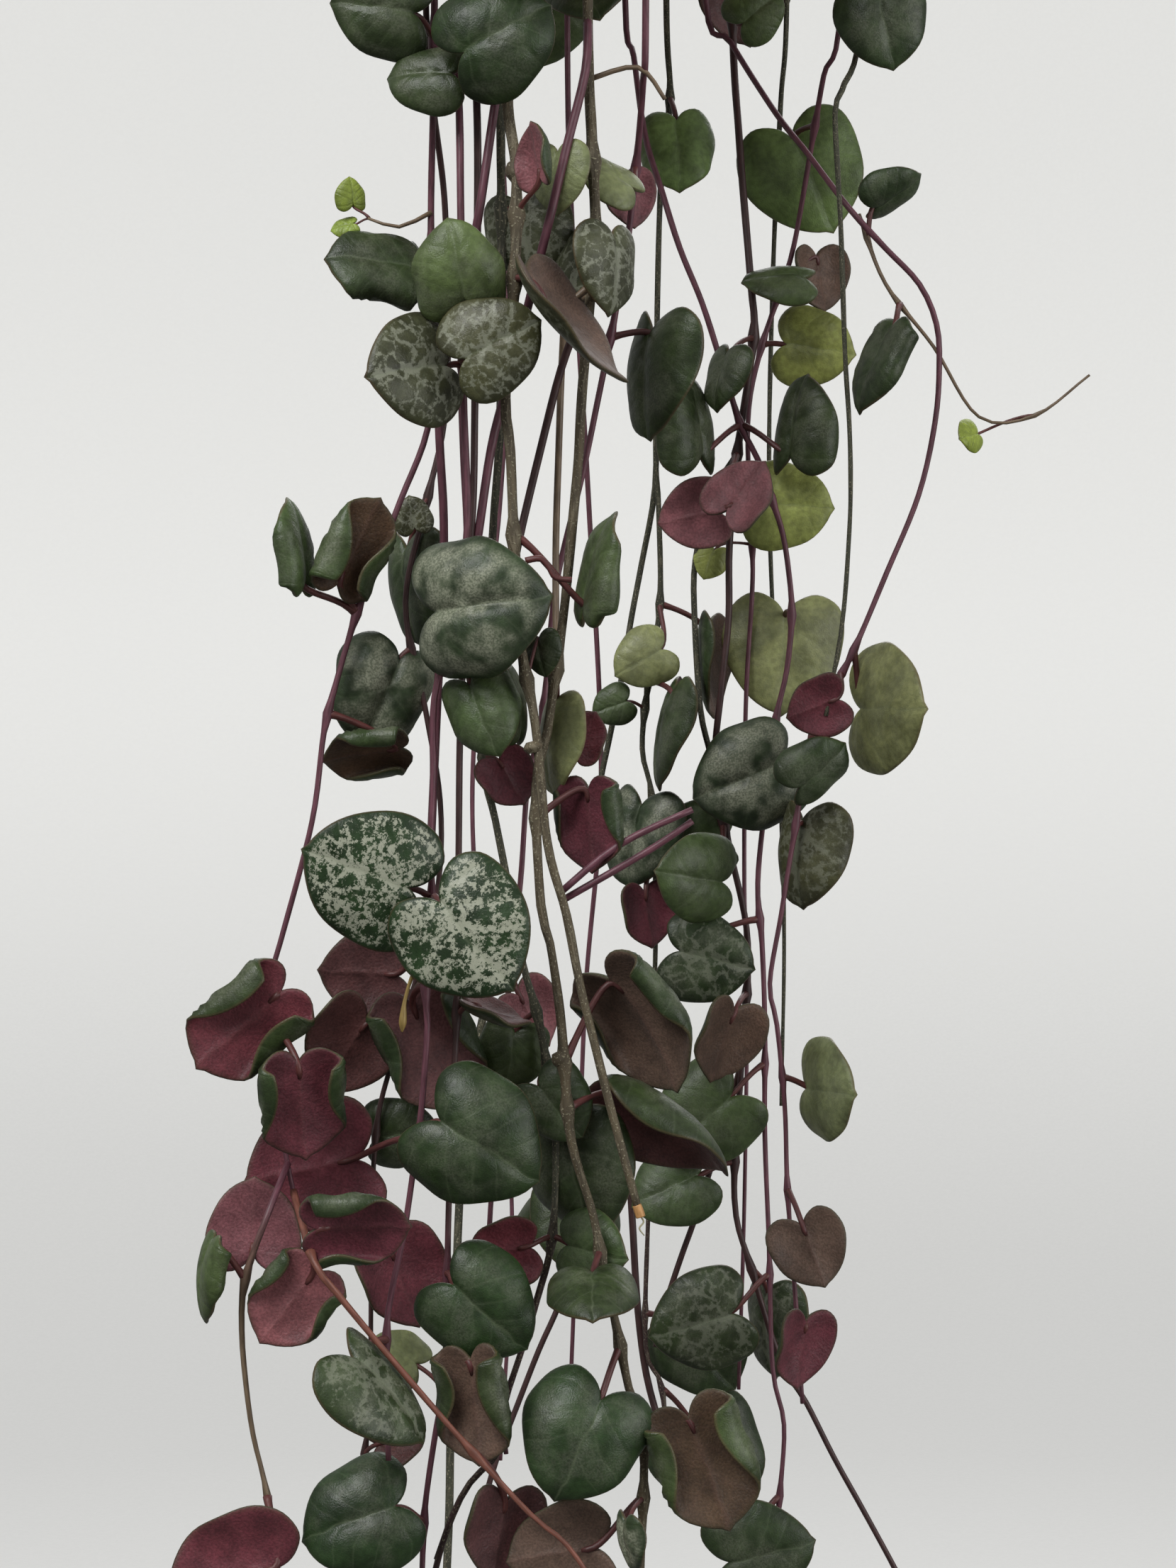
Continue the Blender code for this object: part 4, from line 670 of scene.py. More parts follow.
def leaf_tries():
    """The small changes tried on a leaf that would touch another, least first: depth, turn and lean."""
    tries = []
    for turn in (0, 18, -18, 36, -36):
        for lean in (0, 16, -16):
            for step in range(0, 17, 2):
                for depth in ({step, -step}):
                    tries.append((step + abs(turn) / 8 + abs(lean) / 7, depth * MM, turn, lean))
    return sorted(tries)


TRIES = leaf_tries()


def nearest_on(path, z):
    """The point of a hanging stem at this height, below the rim."""
    below = [p for p in path if p.z < RIM_TOP - 0.01]
    return min(below, key=lambda p: abs(p.z - z))


def stalk_and_blade(room, owner, node, notch, basis, form):
    """The two shapes of a leaf if both are clear of everything else, or None."""
    width, roll, curl = form
    fat = placed(blade(width, roll, curl, CLEARANCE), basis, notch)
    if not room.free(fat):
        return None
    inside = notch + basis @ bent(0, STALK_ENTERS * width, 0, width, roll, curl)
    if not STALK_SHORTEST < (inside - node).length < STALK_LONGEST:
        return None
    if not room.free(rod(node, inside, STALK_RADIUS + CLEARANCE, 3), (owner, owner + " stalk")):
        return None
    return rod(node, inside, STALK_RADIUS, 3), placed(blade(width, roll, curl), basis, notch)


def place_seen_leaf(room, plan, path, spot):
    """One leaf that the front view gives, moved in depth or turned a little where it would touch."""
    width = spot.width * MM
    for _, shift, turn, lean in TRIES:
        node_depth = nearest_on(path, seen(0, spot.node, plan.low).z).y
        depth = node_depth - spot.nearer * MM + shift
        basis = facing(spot.aim, spot.pitch + lean, spot.turn + turn)
        scale = (VIEW_DISTANCE + depth - FRONT_PLANE) / VIEW_DISTANCE
        node = nearest_on(path, seen(0, spot.node, node_depth).z)
        form = (width * scale, spot.roll, spot.curl)
        heart = bent(0, BLADE_CENTRE * form[0], 0, *form)
        notch = seen(spot.across, spot.down, depth) - basis @ heart
        made = stalk_and_blade(room, plan.name, node, notch, basis, form)
        if made:
            return made, (node, notch, basis, form)
    return None


def ruled_leaf(room, owner, node, outward, draw, width):
    """One leaf of a pair by rule: it hangs outward and down from its node, upper face out."""
    for attempt in range(14):
        swing = outward + (attempt // 2) * 0.3 * (-1) ** attempt + draw.uniform(-0.2, 0.2)
        out = Vector((cos(swing), sin(swing), 0))
        reach = draw.uniform(5.5, 8.5) * MM
        notch = node + out * reach + Vector((0, 0, draw.uniform(-2.5, 0.5) * MM))
        fall = radians(draw.uniform(35, 80))
        tip = out * cos(fall) - Vector((0, 0, sin(fall)))
        normal = out * sin(fall) + Vector((0, 0, cos(fall)))
        turn = radians(draw.uniform(-30, 30) if draw.random() < 0.8 else draw.uniform(120, 240))
        basis = frame_of(tip, normal) @ Matrix.Rotation(turn, 3, "Y")
        form = (width, draw.uniform(0.4, 0.9), draw.uniform(0.25, 0.5))
        made = stalk_and_blade(room, owner, node, notch, basis, form)
        if made:
            return made, (node, notch, basis, form)
    return None


def node_points(path, spacing, draw):
    """Points at the leaf nodes along a stem."""
    found = []
    travelled = 0.0
    wanted = spacing * draw.uniform(0.5, 0.9)
    for a, b in zip(path, path[1:]):
        travelled += (b - a).length
        free = b.z > RIM_TOP or hypot(b.x, b.y) > RIM_RADIUS
        if free and travelled > wanted:
            found.append(b)
            wanted = travelled + spacing * draw.uniform(0.85, 1.2)
    return found


def wants_ruled(plan, point):
    """Whether a node's leaves come by rule: all but those in the strand's bare stretch."""
    upper, lower = (seen(0, row, point.y).z for row in plan.bare)
    return point.z > upper or point.z < lower


def pot_radius(z, inside):
    """The pot wall's radius at a height, outside or inside."""
    share = (z - POT_BASE) / POT_HEIGHT
    outer = POT_BASE_RADIUS + (POT_TOP_RADIUS - POT_BASE_RADIUS) * share
    return outer - POT_WALL if inside else outer


def tuber_shape(x, y, radius, grow=0.0, fine=False):
    """A slightly lumpy, flattened ball half sunk in the soil; the fine one has a rough skin."""
    centre = Vector((x, y, SOIL_TOP + SOIL_MOUND + TUBER_RISE * radius))

    def moved(way):
        lumps = 1 + 0.07 * sin(5 * way.x + 40 * x) * cos(4 * way.y - 50 * y)
        if fine:
            lumps += 0.05 * noise.noise(way * 2.6 + centre * 90) + 0.022 * noise.noise(way * 9) - 0.03
        size = radius * lumps + grow
        return centre + Vector((way.x * size, way.y * size, way.z * size * TUBER_FLAT))

    return ball(5 if fine else 2, moved)


def hook_points():
    """The hook's centreline: round the open bend, back under it and down its shank."""
    bend = HOOK_INNER_RADIUS + HOOK_WIRE_RADIUS
    middle = Vector((0, 0, -HOOK_INNER_RADIUS))
    points = [middle + Vector((bend * cos(a), 0, bend * sin(a)))
              for a in (radians(HOOK_MOUTH_ANGLE + HOOK_ANGLE_STEP * i) for i in range(HOOK_BEND_POINTS))]
    last = points[-1]
    shank = Vector((0, 0, last.z - SHANK_DROP))
    points += [last.lerp(shank, t) + Vector((0, 0, -0.0012 * sin(pi * t))) for t in (0.35, 0.7)]
    points += [shank, Vector((0, 0, HUB_TOP - HUB_THICKNESS - 0.002))]
    return points


def wire_points(azimuth):
    """A hanger wire's centreline: down through the hub, out to the rim and down through its hole."""
    angle = radians(azimuth)
    under_rim = RIM_TOP - RIM_THICKNESS
    top = [at_azimuth(angle, HUB_HOLE_CIRCLE, z) for z in (HUB_TOP + 0.001, HUB_TOP - 0.009)]
    foot = [at_azimuth(angle, WIRE_RIM_CIRCLE, z) for z in (RIM_TOP + 0.012, under_rim - 0.001)]
    bends = [
        at_azimuth(angle, HUB_HOLE_CIRCLE + WIRE_EASE, HUB_TOP - 0.014),
        at_azimuth(angle, WIRE_RIM_CIRCLE - WIRE_EASE, RIM_TOP + 0.017),
    ]
    return [top[0], top[1], bends[0], bends[1], foot[0], foot[1]]


def lay_strands():
    """Every strand with its plain and its fine paths, the long ones first."""
    laid = []
    for index, plan in enumerate(LONG_STRANDS):
        route = strand_path(plan, index)
        path = smooth_curve(route, STEM_STEP)
        branches, fine_branches = [], []
        for branch in plan.branches:
            start = nearest_on(along(path), seen(0, branch.start, plan.low).z)
            points = [start] + [seen(a, d, start.y + branch.depth) for a, d in branch.route]
            branches.append((smooth_curve(points, STEM_STEP), branch.radius, branch.leaves))
            fine_branches.append(evened(points, FINE_STEP))
        laid.append(Laid(plan, path, branches, evened(route, FINE_STEP), fine_branches))
    for index, (azimuth, length) in enumerate(SIDE_STRANDS):
        route = side_path(azimuth, length, index)
        path = smooth_curve(route, SIDE_STEM_STEP)
        name = f"strand_side_{index + 1}"
        plan = Strand(name, SIDE_STEM_RADIUS, 1, 0, (), (), (), SIDE_LEAF_SPACING, 0, (0, 0))
        laid.append(Laid(plan, path, [], evened(route, FINE_STEP), []))
    return laid


def block_room(room, strands):
    """Takes the space of the pot, its wires, the tubers and all the stems."""
    low, high = Vector((0, 0, POT_BASE - POT_KEEP_OFF)), Vector((0, 0, RIM_TOP))
    room.take(rod(low, high, POT_TOP_RADIUS, POT_STEPS), "pot")
    middle = 0.5 * (RIM_RADIUS + POT_TOP_RADIUS)
    under_rim = RIM_TOP - 0.5 * RIM_THICKNESS
    ring = [at_azimuth(tau * i / POT_STEPS, middle, under_rim) for i in range(POT_STEPS + 1)]
    room.take(tube(ring, RIM_KEEP_OFF, 6, 1.0), "pot")
    for azimuth in WIRE_AZIMUTHS:
        room.take(tube(wire_points(azimuth), WIRE_HEAD_RADIUS, 6, 1.0), "wire")
    for x, y, radius in TUBERS:
        room.take(tuber_shape(x, y, radius, CLEARANCE), "tuber")
    for plan, path, branches, *_ in strands:
        room.take(tube(path, plan.radius + CLEARANCE, 5), plan.name)
        for way, thin, _ in branches:
            room.take(tube(way, thin + CLEARANCE, 4), plan.name)


def grow_leaves(room, strands):
    """Places every leaf: those that the front view gives first, and then those that follow the rule."""
    grown = {plan.name: [] for plan, *_ in strands}

    def keep(name, found, kind):
        (stalk, face), facts = found
        room.take(face, name + " blade")
        room.take(stalk, name + " stalk")
        grown[name].append((facts, kind))

    for plan, path, branches, *_ in strands:
        stems = [(path, plan.leaves)] + [(way, shown) for way, _, shown in branches]
        for way, shown in stems:
            for spot in shown:
                found = place_seen_leaf(room, plan, along(way), spot)
                if found:
                    keep(plan.name, found, spot.kind)
    for index, (plan, path, branches, *_) in enumerate(strands):
        draw = random.Random(SEED + index)
        kinds = random.Random(SEED * 7 + index)
        ways = [p for p in node_points(along(path), plan.spacing, draw) if wants_ruled(plan, p)]
        for way, _, shown in branches:
            ways += [] if shown else node_points(along(way), SHOOT_LEAF_SPACING, draw)
        for number, node in enumerate(ways):
            outward = atan2(node.y, node.x) + (0.9 if number % 2 else 0.2)
            width = draw.uniform(*LEAF_WIDTHS) * MM
            for side in (0, 1):
                if side and draw.random() > SECOND_LEAF_SHARE:
                    continue
                found = ruled_leaf(room, plan.name, node, outward + (2.2 if side else 0), draw, width)
                if found:
                    keep(plan.name, found, kinds.choice(RULED_KINDS))
    return grown


# Nodes and their settings, and levels that several materials share
NOISE = "ShaderNodeTexNoise"
CELLS = "ShaderNodeTexVoronoi"
RANGE = "ShaderNodeMapRange"
MATH = "ShaderNodeMath"
VECTOR = "ShaderNodeVectorMath"
MIX = "ShaderNodeMix"
BUMP = "ShaderNodeBump"
SPLIT = "ShaderNodeSeparateXYZ"
PLACES = "ShaderNodeTexCoord"
READ = "ShaderNodeAttribute"
SOFT = {"interpolation_type": "SMOOTHSTEP"}
COLOUR = {"data_type": "RGBA"}
TIMES = {"operation": "MULTIPLY"}
TIMES_PLUS = {"operation": "MULTIPLY_ADD"}
PLUS = {"operation": "ADD"}
LESS = {"operation": "SUBTRACT"}
SIZE = {"operation": "ABSOLUTE"}
SCALED = {"operation": "SCALE"}
LEAF_IOR = 1.45
# The side veins of a leaf as start, slope and bend, in leaf widths from the midrib outward
SIDE_VEINS = ((0.05, -0.55, 0.9), (0.07, 0.55, 0.3), (0.22, 0.95, -0.6), (0.42, 1.0, -0.9))
SIDE_VEIN_SHARE = 0.42


def linear(code):
    """An sRGB hex colour as linear red, green and blue."""
    made = []
    for i in (0, 2, 4):
        value = int(code[i:i + 2], 16) / 255
        made.append(value / 12.92 if value <= 0.04045 else ((value + 0.055) / 1.055) ** 2.4)
    return tuple(made)


def feed(node, given):
    """Sets a node's inputs, by place or name, to values, or links them from sockets or nodes."""
    for key, value in given.items():
        socket = node.inputs[key]
        if isinstance(value, bpy.types.Node):
            value = next(output for output in value.outputs if output.enabled)
        if isinstance(value, bpy.types.NodeSocket):
            node.id_data.links.new(value, socket)
        elif socket.type == "RGBA":
            socket.default_value = (*value, 1.0)
        else:
            socket.default_value = value


def add_node(tree, kind, inputs=(), **settings):
    """Adds a node with its settings and its inputs, given in order or by place or name."""
    node = tree.nodes.new(kind)
    for key, value in settings.items():
        setattr(node, key, value)
    feed(node, inputs if isinstance(inputs, dict) else dict(enumerate(inputs)))
    return node


def new_material(name):
    """A material with an empty principled surface, and what adds a node to it."""
    made = bpy.data.materials.new(name)
    made.use_nodes = True
    return made, partial(add_node, made.node_tree)


def finished(made, colour, rough, height, strength, depth, others=()):
    """The material with its colour, roughness (a pattern or one value), relief of this depth in metres, and
    any other levels of its surface."""
    tree = made.node_tree
    relief = add_node(tree, BUMP, {"Height": height, "Strength": strength, "Distance": depth})
    surface = {"Base Color": colour, "Roughness": rough, "Normal": relief, **dict(others)}
    feed(tree.nodes["Principled BSDF"], surface)
    return made


def patches(add, where, size, low, high, first=0.0, last=1.0, detail=2.0):
    """Soft patches of this size, between two levels of the pattern."""
    cloud = add(NOISE, {"Vector": where, "Scale": 1 / size, "Detail": detail})
    return add(RANGE, (cloud, low, high, first, last), **SOFT)


def uneven(add, where, colour, *layers):
    """A colour made lighter and darker in patches, from rows of their size, detail and two strengths."""
    for size, detail, low, high in layers:
        light = patches(add, where, size, 0.3, 0.7, low, high, detail)
        colour = add(VECTOR, {0: colour, 3: light}, **SCALED)
    return colour


def tinted(add, colour, mask, share, code):
    """A colour with another laid over it where the mask is, up to a share."""
    amount = add(MATH, (mask, share), **TIMES)
    return add(MIX, {0: amount, 6: colour, 7: linear(code)}, **COLOUR)


def surface_facts(add):
    """What a strand's mesh says at each point: its place, tone and marks."""
    place, tone, marks = (add(READ, attribute_name="surface_" + key) for key in ("place", "tone", "marks"))
    parts = add(SPLIT, (marks.outputs["Vector"],))
    return place.outputs["Vector"], tone.outputs["Color"], parts.outputs


def in_millimetres(add):
    """The piece's own coordinates in millimetres, so that a pattern's scale is one over its real size."""
    place = add(PLACES)
    return add(VECTOR, {0: place.outputs["Object"], 3: 1000.0}, **SCALED)


def leaf_places(add, place):
    """The place on a leaf as x from the midrib and y from the notch, shifted so that the veins wander."""
    drift = add(NOISE, {"Vector": place, "Scale": 4.0, "Detail": 2.0})
    shift = add(VECTOR, (drift.outputs["Color"], (0.5, 0.5, 0.5)), **LESS)
    shift = add(VECTOR, {0: shift, 3: 0.10}, **SCALED)
    moved = add(VECTOR, (place, shift), **PLUS)
    parts = add(SPLIT, (moved,))
    across = add(MATH, (parts.outputs["X"],), **SIZE)
    return across, parts.outputs["Y"]


def vein_lines(add, across, y, share, wide):
    """The midrib and the side veins of a heart leaf as one mask; they thin towards the margin."""
    square = add(MATH, (across, across), **TIMES)
    width = add(MATH, (share, -0.55 * wide, wide), **TIMES_PLUS)
    lines = add(RANGE, (across, 0.0, width, 1.0, 0.0))
    for start, slope, bend in SIDE_VEINS:
        line = add(MATH, (across, slope, start), **TIMES_PLUS)
        line = add(MATH, (square, bend, line), **TIMES_PLUS)
        gap = add(MATH, (y, line), **LESS)
        gap = add(MATH, (gap,), **SIZE)
        near = add(RANGE, (gap, 0.0, width, SIDE_VEIN_SHARE, 0.0))
        lines = add(MATH, (lines, near), operation="MAXIMUM")
    return lines


def marbled(add, place, veins, share, marbling):
    """How silvery a leaf is at each point: a soft pale net along the veins, sharper on a silver leaf."""
    # The net leaves green islands about 3 mm wide; their edge is torn by grains of 1.5, 0.6 and 0.3 mm
    bend = add(NOISE, {"Vector": place, "Scale": 7.0})
    bend = add(VECTOR, {0: bend.outputs["Color"], 3: 0.16}, **SCALED)
    bend = add(VECTOR, (place, bend), **PLUS)
    net = add(CELLS, {"Vector": bend, "Scale": 6.5}, feature="DISTANCE_TO_EDGE")
    rag = add(NOISE, {"Vector": place, "Scale": 26.0, "Detail": 4.0, "Roughness": 0.85})
    rag = add(RANGE, (rag, 0.25, 0.75, -1.0, 1.0))
    silver = add(RANGE, (marbling, 0.7, 0.8, 0.0, 1.0))
    torn = add(MIX, {0: silver, 2: 0.20, 3: 0.50})
    gap = add(MATH, (rag, torn, net.outputs["Distance"]), **TIMES_PLUS)
    pull = add(MIX, {0: silver, 2: -0.24, 3: -0.22})
    gap = add(MATH, (veins, pull, gap), **TIMES_PLUS)
    worn = add(NOISE, {"Vector": place, "Scale": 3.2})
    gap = add(MATH, (worn, 0.30, gap), **TIMES_PLUS)
    low = add(MIX, {0: silver, 2: 0.11, 3: 0.18})
    pale = add(RANGE, (gap, low, 0.26, 1.0, 0.0), **SOFT)
    # The margin stays green, with a ragged inner line
    inside = add(MATH, (rag, 0.07, share), **TIMES_PLUS)
    inside = add(RANGE, (inside, 0.86, 0.93, 1.0, 0.0), **SOFT)
    return add(MATH, (pale, inside), **TIMES)


def leaf_upper():
    """Waxy leaf skin, grown: satin deep green with a dusty bloom, partly real and partly a painted sheen,
    fine pale veins and silver marbling.
    """
    made, add = new_material("Waxy_leaf_skin_upper_side")
    place, tone, (marbling, speckle, share) = surface_facts(add)
    where = in_millimetres(add)
    across, y = leaf_places(add, place)
    fine_veins = vein_lines(add, across, y, share, 0.022)
    wide_veins = vein_lines(add, across, y, share, 0.075)
    # Broad unevenness of colour over 5 mm, and a finer one over 0.8 mm
    colour = uneven(add, where, tone, (5.0, 2.0, 0.70, 1.32), (0.8, 3.0, 0.84, 1.16))
    # Bloom and painted sheen: pale dusty grains of 0.3 mm, partly the leaf's own bloom and partly a painted
    # sheen, that lie thickest on the raised cushions between veins and margin
    dust = patches(add, where, 0.3, 0.35, 0.65, 0.45, 1.0, 1.0)
    cushion = patches(add, where, 4.5, 0.36, 0.62, 0.0, 0.9)
    inside = add(RANGE, (share, 0.70, 0.95, 1.0, 0.0), **SOFT)
    for mask in (cushion, inside):
        dust = add(MATH, (dust, mask), **TIMES)
    colour = tinted(add, colour, dust, speckle, "8C8F7C")
    silver = marbled(add, place, wide_veins, share, marbling)
    colour = tinted(add, colour, silver, marbling, "939685")
    # Thin paler veins, and a thin reddish rim
    colour = tinted(add, colour, fine_veins, 0.22, "727C62")
    rim = add(RANGE, (share, 0.955, 1.0, 0.0, 1.0), **SOFT)
    colour = tinted(add, colour, rim, 0.55, "5E4C38")
    rough = patches(add, where, 1.2, 0.3, 0.7, 0.33, 0.46, 3.0)
    # Relief: sunken veins, raised grains of skin 0.25 mm across and soft puckers of 2 mm
    skin = add(NOISE, {"Vector": where, "Scale": 1 / 0.25, "Detail": 1.0})
    pucker = add(NOISE, {"Vector": where, "Scale": 1 / 2.2, "Detail": 1.0})
    height = add(MATH, (skin, 0.35, pucker), **TIMES_PLUS)
    height = add(MATH, (wide_veins, -0.8, height), **TIMES_PLUS)
    levels = {"Specular IOR Level": 0.36, "IOR": LEAF_IOR}
    return finished(made, colour, rough, height, 0.6, 0.22 * MM, levels)


def leaf_under():
    """Leaf skin, grown: the matt underside, stained rose to plum with a fine grain and raised veins."""
    made, add = new_material("Waxy_leaf_skin_underside")
    place, tone, (_, _, share) = surface_facts(add)
    where = in_millimetres(add)
    across, y = leaf_places(add, place)
    veins = vein_lines(add, across, y, share, 0.05)
    # Grains of 0.35 mm, and uneven stain over 4 mm
    colour = uneven(add, where, tone, (0.35, 2.0, 0.80, 1.20), (4.0, 2.0, 0.76, 1.26))
    colour = tinted(add, colour, veins, 0.10, "7C5652")
    edge = add(RANGE, (share, 0.90, 1.0, 0.0, 1.0), **SOFT)
    colour = tinted(add, colour, edge, 0.35, "3E3A26")
    rough = patches(add, where, 1.2, 0.3, 0.7, 0.46, 0.60, 3.0)
    skin = add(NOISE, {"Vector": where, "Scale": 1 / 0.35})
    height = add(MATH, (veins, 0.6, skin), **TIMES_PLUS)
    levels = {"Specular IOR Level": 0.35, "Sheen Weight": 0.06, "IOR": LEAF_IOR}
    return finished(made, colour, rough, height, 0.55, 0.18 * MM, levels)


def young_stem():
    """Young stem skin, grown: smooth and thin, with faint streaks and a satin light along it."""
    made, add = new_material("Young_stem_skin_smooth")
    place, tone, _ = surface_facts(add)
    # Streaks about 0.3 mm wide and 3 mm long
    drawn = add(VECTOR, (place, (1.0, 1.0, 0.3)), **TIMES)
    colour = uneven(add, drawn, tone, (0.9, 3.0, 0.72, 1.32))
    grain = add(NOISE, {"Vector": drawn, "Scale": 1 / 0.5})
    return finished(made, colour, 0.45, grain, 0.4, 0.1 * MM, {"Specular IOR Level": 0.4})


def woody_stem():
    """Old stem bark, grown: grey-brown and dry, with long pale cracks and small corky spots."""
    made, add = new_material("Old_stem_bark_fissured")
    place, tone, _ = surface_facts(add)
    # Cracks about 0.4 mm wide and 4 mm long; pale corky spots of 0.35 mm
    drawn = add(VECTOR, (place, (1.0, 1.0, 0.22)), **TIMES)
    around = add(VECTOR, (place, (0.8, 0.8, 1.0)), **TIMES)
    crack = patches(add, drawn, 0.55, 0.50, 0.64, detail=4.0)
    cork = patches(add, around, 0.35, 0.60, 0.66, detail=1.0)
    colour = uneven(add, drawn, tone, (1.1, 2.0, 0.64, 1.26))
    colour = tinted(add, colour, crack, 0.36, "7C7562")
    colour = tinted(add, colour, cork, 0.7, "928C74")
    height = add(MATH, (crack, 0.8, cork), **TIMES_PLUS)
    return finished(made, colour, 0.72, height, 0.7, 0.2 * MM)


def pot_plastic(tone):
    """Polypropylene, injection moulded: an even earthy brown with an eggshell grain and faint flow marks."""
    made, add = new_material("Polypropylene_moulded")
    where = in_millimetres(add)
    # Flow marks 18 mm long round the wall, and dust caught in grains of 0.5 mm
    colour = uneven(add, where, tone, (18.0, 3.0, 0.86, 1.14))
    dust = patches(add, where, 0.5, 0.55, 0.72, detail=3.0)
    colour = tinted(add, colour, dust, 0.12, "B79A84")
    rough = patches(add, where, 6.0, 0.3, 0.7, 0.42, 0.56)
    grain = add(NOISE, {"Vector": where, "Scale": 1 / 0.35})
    return finished(made, colour, rough, grain, 0.35, 0.1 * MM)


def zinc_steel(tone):
    """Steel wire, drawn and zinc coated: bright grey with dull spangles of 1.6 mm and fine marks."""
    made, add = new_material("Steel_wire_zinc_coated")
    where = in_millimetres(add)
    spangle = add(CELLS, {"Vector": where, "Scale": 1 / 1.6}, feature="F1")
    shade = add(RANGE, (spangle.outputs["Distance"], 0.0, 1.0, 0.82, 1.12), **SOFT)
    colour = add(VECTOR, {0: tone, 3: shade}, **SCALED)
    rough = patches(add, where, 0.8, 0.3, 0.7, 0.28, 0.46, 3.0)
    marks = add(NOISE, {"Vector": where, "Scale": 1 / 0.3})
    return finished(made, colour, rough, marks, 0.25, 0.05 * MM, {"Metallic": 1.0})


def loose_mix(name, tone, pale, size):
    """Peat, bark, perlite or tuber skin, dry: rough and matt, darker and lighter in random patches, with
    lighter worn points.
    """
    made, add = new_material(name)
    where = in_millimetres(add)
    colour = uneven(add, where, tone, (size, 4.0, 0.45, 1.35))
    colour = tinted(add, colour, patches(add, where, 0.4 * size, 0.58, 0.72), 0.5, pale)
    crumb = add(NOISE, {"Vector": where, "Scale": 3.3 / size, "Detail": 4.0})
    return finished(made, colour, 0.92, crumb, 0.9, 0.4 * MM)


def backdrop_paper(tone, glow):
    """Paper, rolled: a pale matt sweep that glows with a painted light of its own, with a faint fibre and
    painted shade that darkens its foot.
    """
    made, add = new_material("Backdrop_paper_rolled")
    where = in_millimetres(add)
    parts = add(SPLIT, (where,))
    # Painted shade: the paper, and so its glow, is darker towards the foot of the sweep, down to about two
    # thirds
    foot_shade = add(RANGE, (parts.outputs["Z"], -1150.0, -250.0, 0.66, 1.0), **SOFT)
    colour = add(VECTOR, {0: tone, 3: foot_shade}, **SCALED)
    colour = uneven(add, where, colour, (3.0, 3.0, 0.99, 1.01))
    fibre = add(NOISE, {"Vector": where, "Scale": 1 / 3.0, "Detail": 3.0})
    # Painted light: the paper glows in its own colour, though no lamp lights it
    levels = {"Emission Color": colour, "Emission Strength": glow, "Specular IOR Level": 0.0}
    return finished(made, colour, 0.9, fibre, 0.1, 0.1 * MM, levels)


# Fine leaves: shares of the way from the blade's heart to its margin, and half thickness there
RINGS = (0.16, 0.34, 0.52, 0.68, 0.81, 0.90, 0.955, 0.985, 1.0)
RING_THICKNESS = (1.0, 1.0, 0.98, 0.94, 0.86, 0.74, 0.55, 0.32, 0.0)
RIM_STEPS_LARGE = 4
RIM_STEPS_SMALL = 3
ROLL_TABLE_STEPS = 60
ROLL_TABLE_REACH = 1.15
NOTCH_TANGENT = Vector((0.0, 0.13))
TIP_POINT = 0.030
TIP_POINT_WIDTH = 0.018
FOLDED = 1.45
FOLD_TURN = 2.7
FOLD_WIDTH = 0.34
FOLDED_LOBE = 0.75
CREASE_WIDTH = 0.040
CREASE_DEPTH = 0.75
WAVE_LIFT = 0.02
WAVES = 5
USUAL_WIDTH = 0.02
FULL_THICKNESS_WIDTH = 0.012
UNEVEN_LIFT = 0.00045
LOOK_UPPER, LOOK_UNDER, LOOK_YOUNG, LOOK_WOODY = range(4)
FINE_STEP = 0.0022
STALK_SIDES = 8
STEM_SIDES = 10
STALK_STEPS = 10
STALK_END_RADIUS = 0.0003
STALK_TUCK = 0.0028
STALK_UNDER = -0.00035
FULL_STALK_WIDTH = 0.013
NODE_REACH = 0.0016
NODE_SWELL = 0.75
STEM_THINS = 0.6
TONE_TURNS_AT = -0.505
TONE_TURN_LENGTH = 0.012

# What a leaf kind looks like: its two sides, marbling, its pale bloom with painted sheen, how near the edge
# it rolls, bulge in mm
Kind = namedtuple("Kind", "upper under marbling speckle edge bulge")
KINDS = {
    "dark": Kind("dark_green", "plum_under", 0.0, 0.26, 1.5, 0.45),
    # Painted shade: the deep kind's darker green stands for the shade on leaves low on the strands and just
    # under the rim
    "deep": Kind("deep_green", "plum_under", 0.0, 0.18, 1.5, 0.45),
    "green": Kind("fresh_green", "olive_under", 0.0, 0.15, 1.5, 0.40),
    # Painted light: the fresh kind's lighter green makes up for the light that the leaves on the back strands
    # lack
    "fresh": Kind("leaf_green", "olive_under", 0.0, 0.05, 1.5, 0.20),
    "bright": Kind("bright_green", "green_under", 0.0, 0.20, 1.5, 0.50),
    "lime": Kind("lime_green", "green_under", 0.0, 0.05, 1.3, 0.15),
    "young": Kind("young_green", "green_under", 0.0, 0.0, 1.3, 0.10),
    "olive": Kind("olive_green", "green_under", 0.04, 0.15, 1.2, 0.15),
    "grey": Kind("bloom_green", "plum_under", 0.0, 1.0, 1.8, 0.90),
    "silver": Kind("blotch_green", "rose_under", 1.0, 0.0, 1.1, 0.10),
    "veined": Kind("bronze_green", "rose_under", 0.56, 0.10, 1.3, 0.25),
    "faded": Kind("dark_green", "rose_under", 0.30, 0.25, 1.3, 0.25),
    "bronze": Kind("bronze_green", "bronze_under", 0.35, 0.15, 1.2, 0.20),
    "rose": Kind("dark_green", "rose_under", 0.0, 0.3, 1.6, 0.30),
    "maroon": Kind("dark_green", "maroon_under", 0.0, 0.3, 1.6, 0.35),
    "plum": Kind("dark_green", "plum_under", 0.0, 0.3, 1.6, 0.30),
    "olive_under": Kind("fresh_green", "olive_under", 0.0, 0.4, 1.6, 0.30),
    "bronze_under": Kind("dark_green", "bronze_under", 0.0, 0.4, 1.6, 0.30),
}
RULED_KINDS = ("dark", "dark", "dark", "grey", "green", "dark", "faded", "dark")

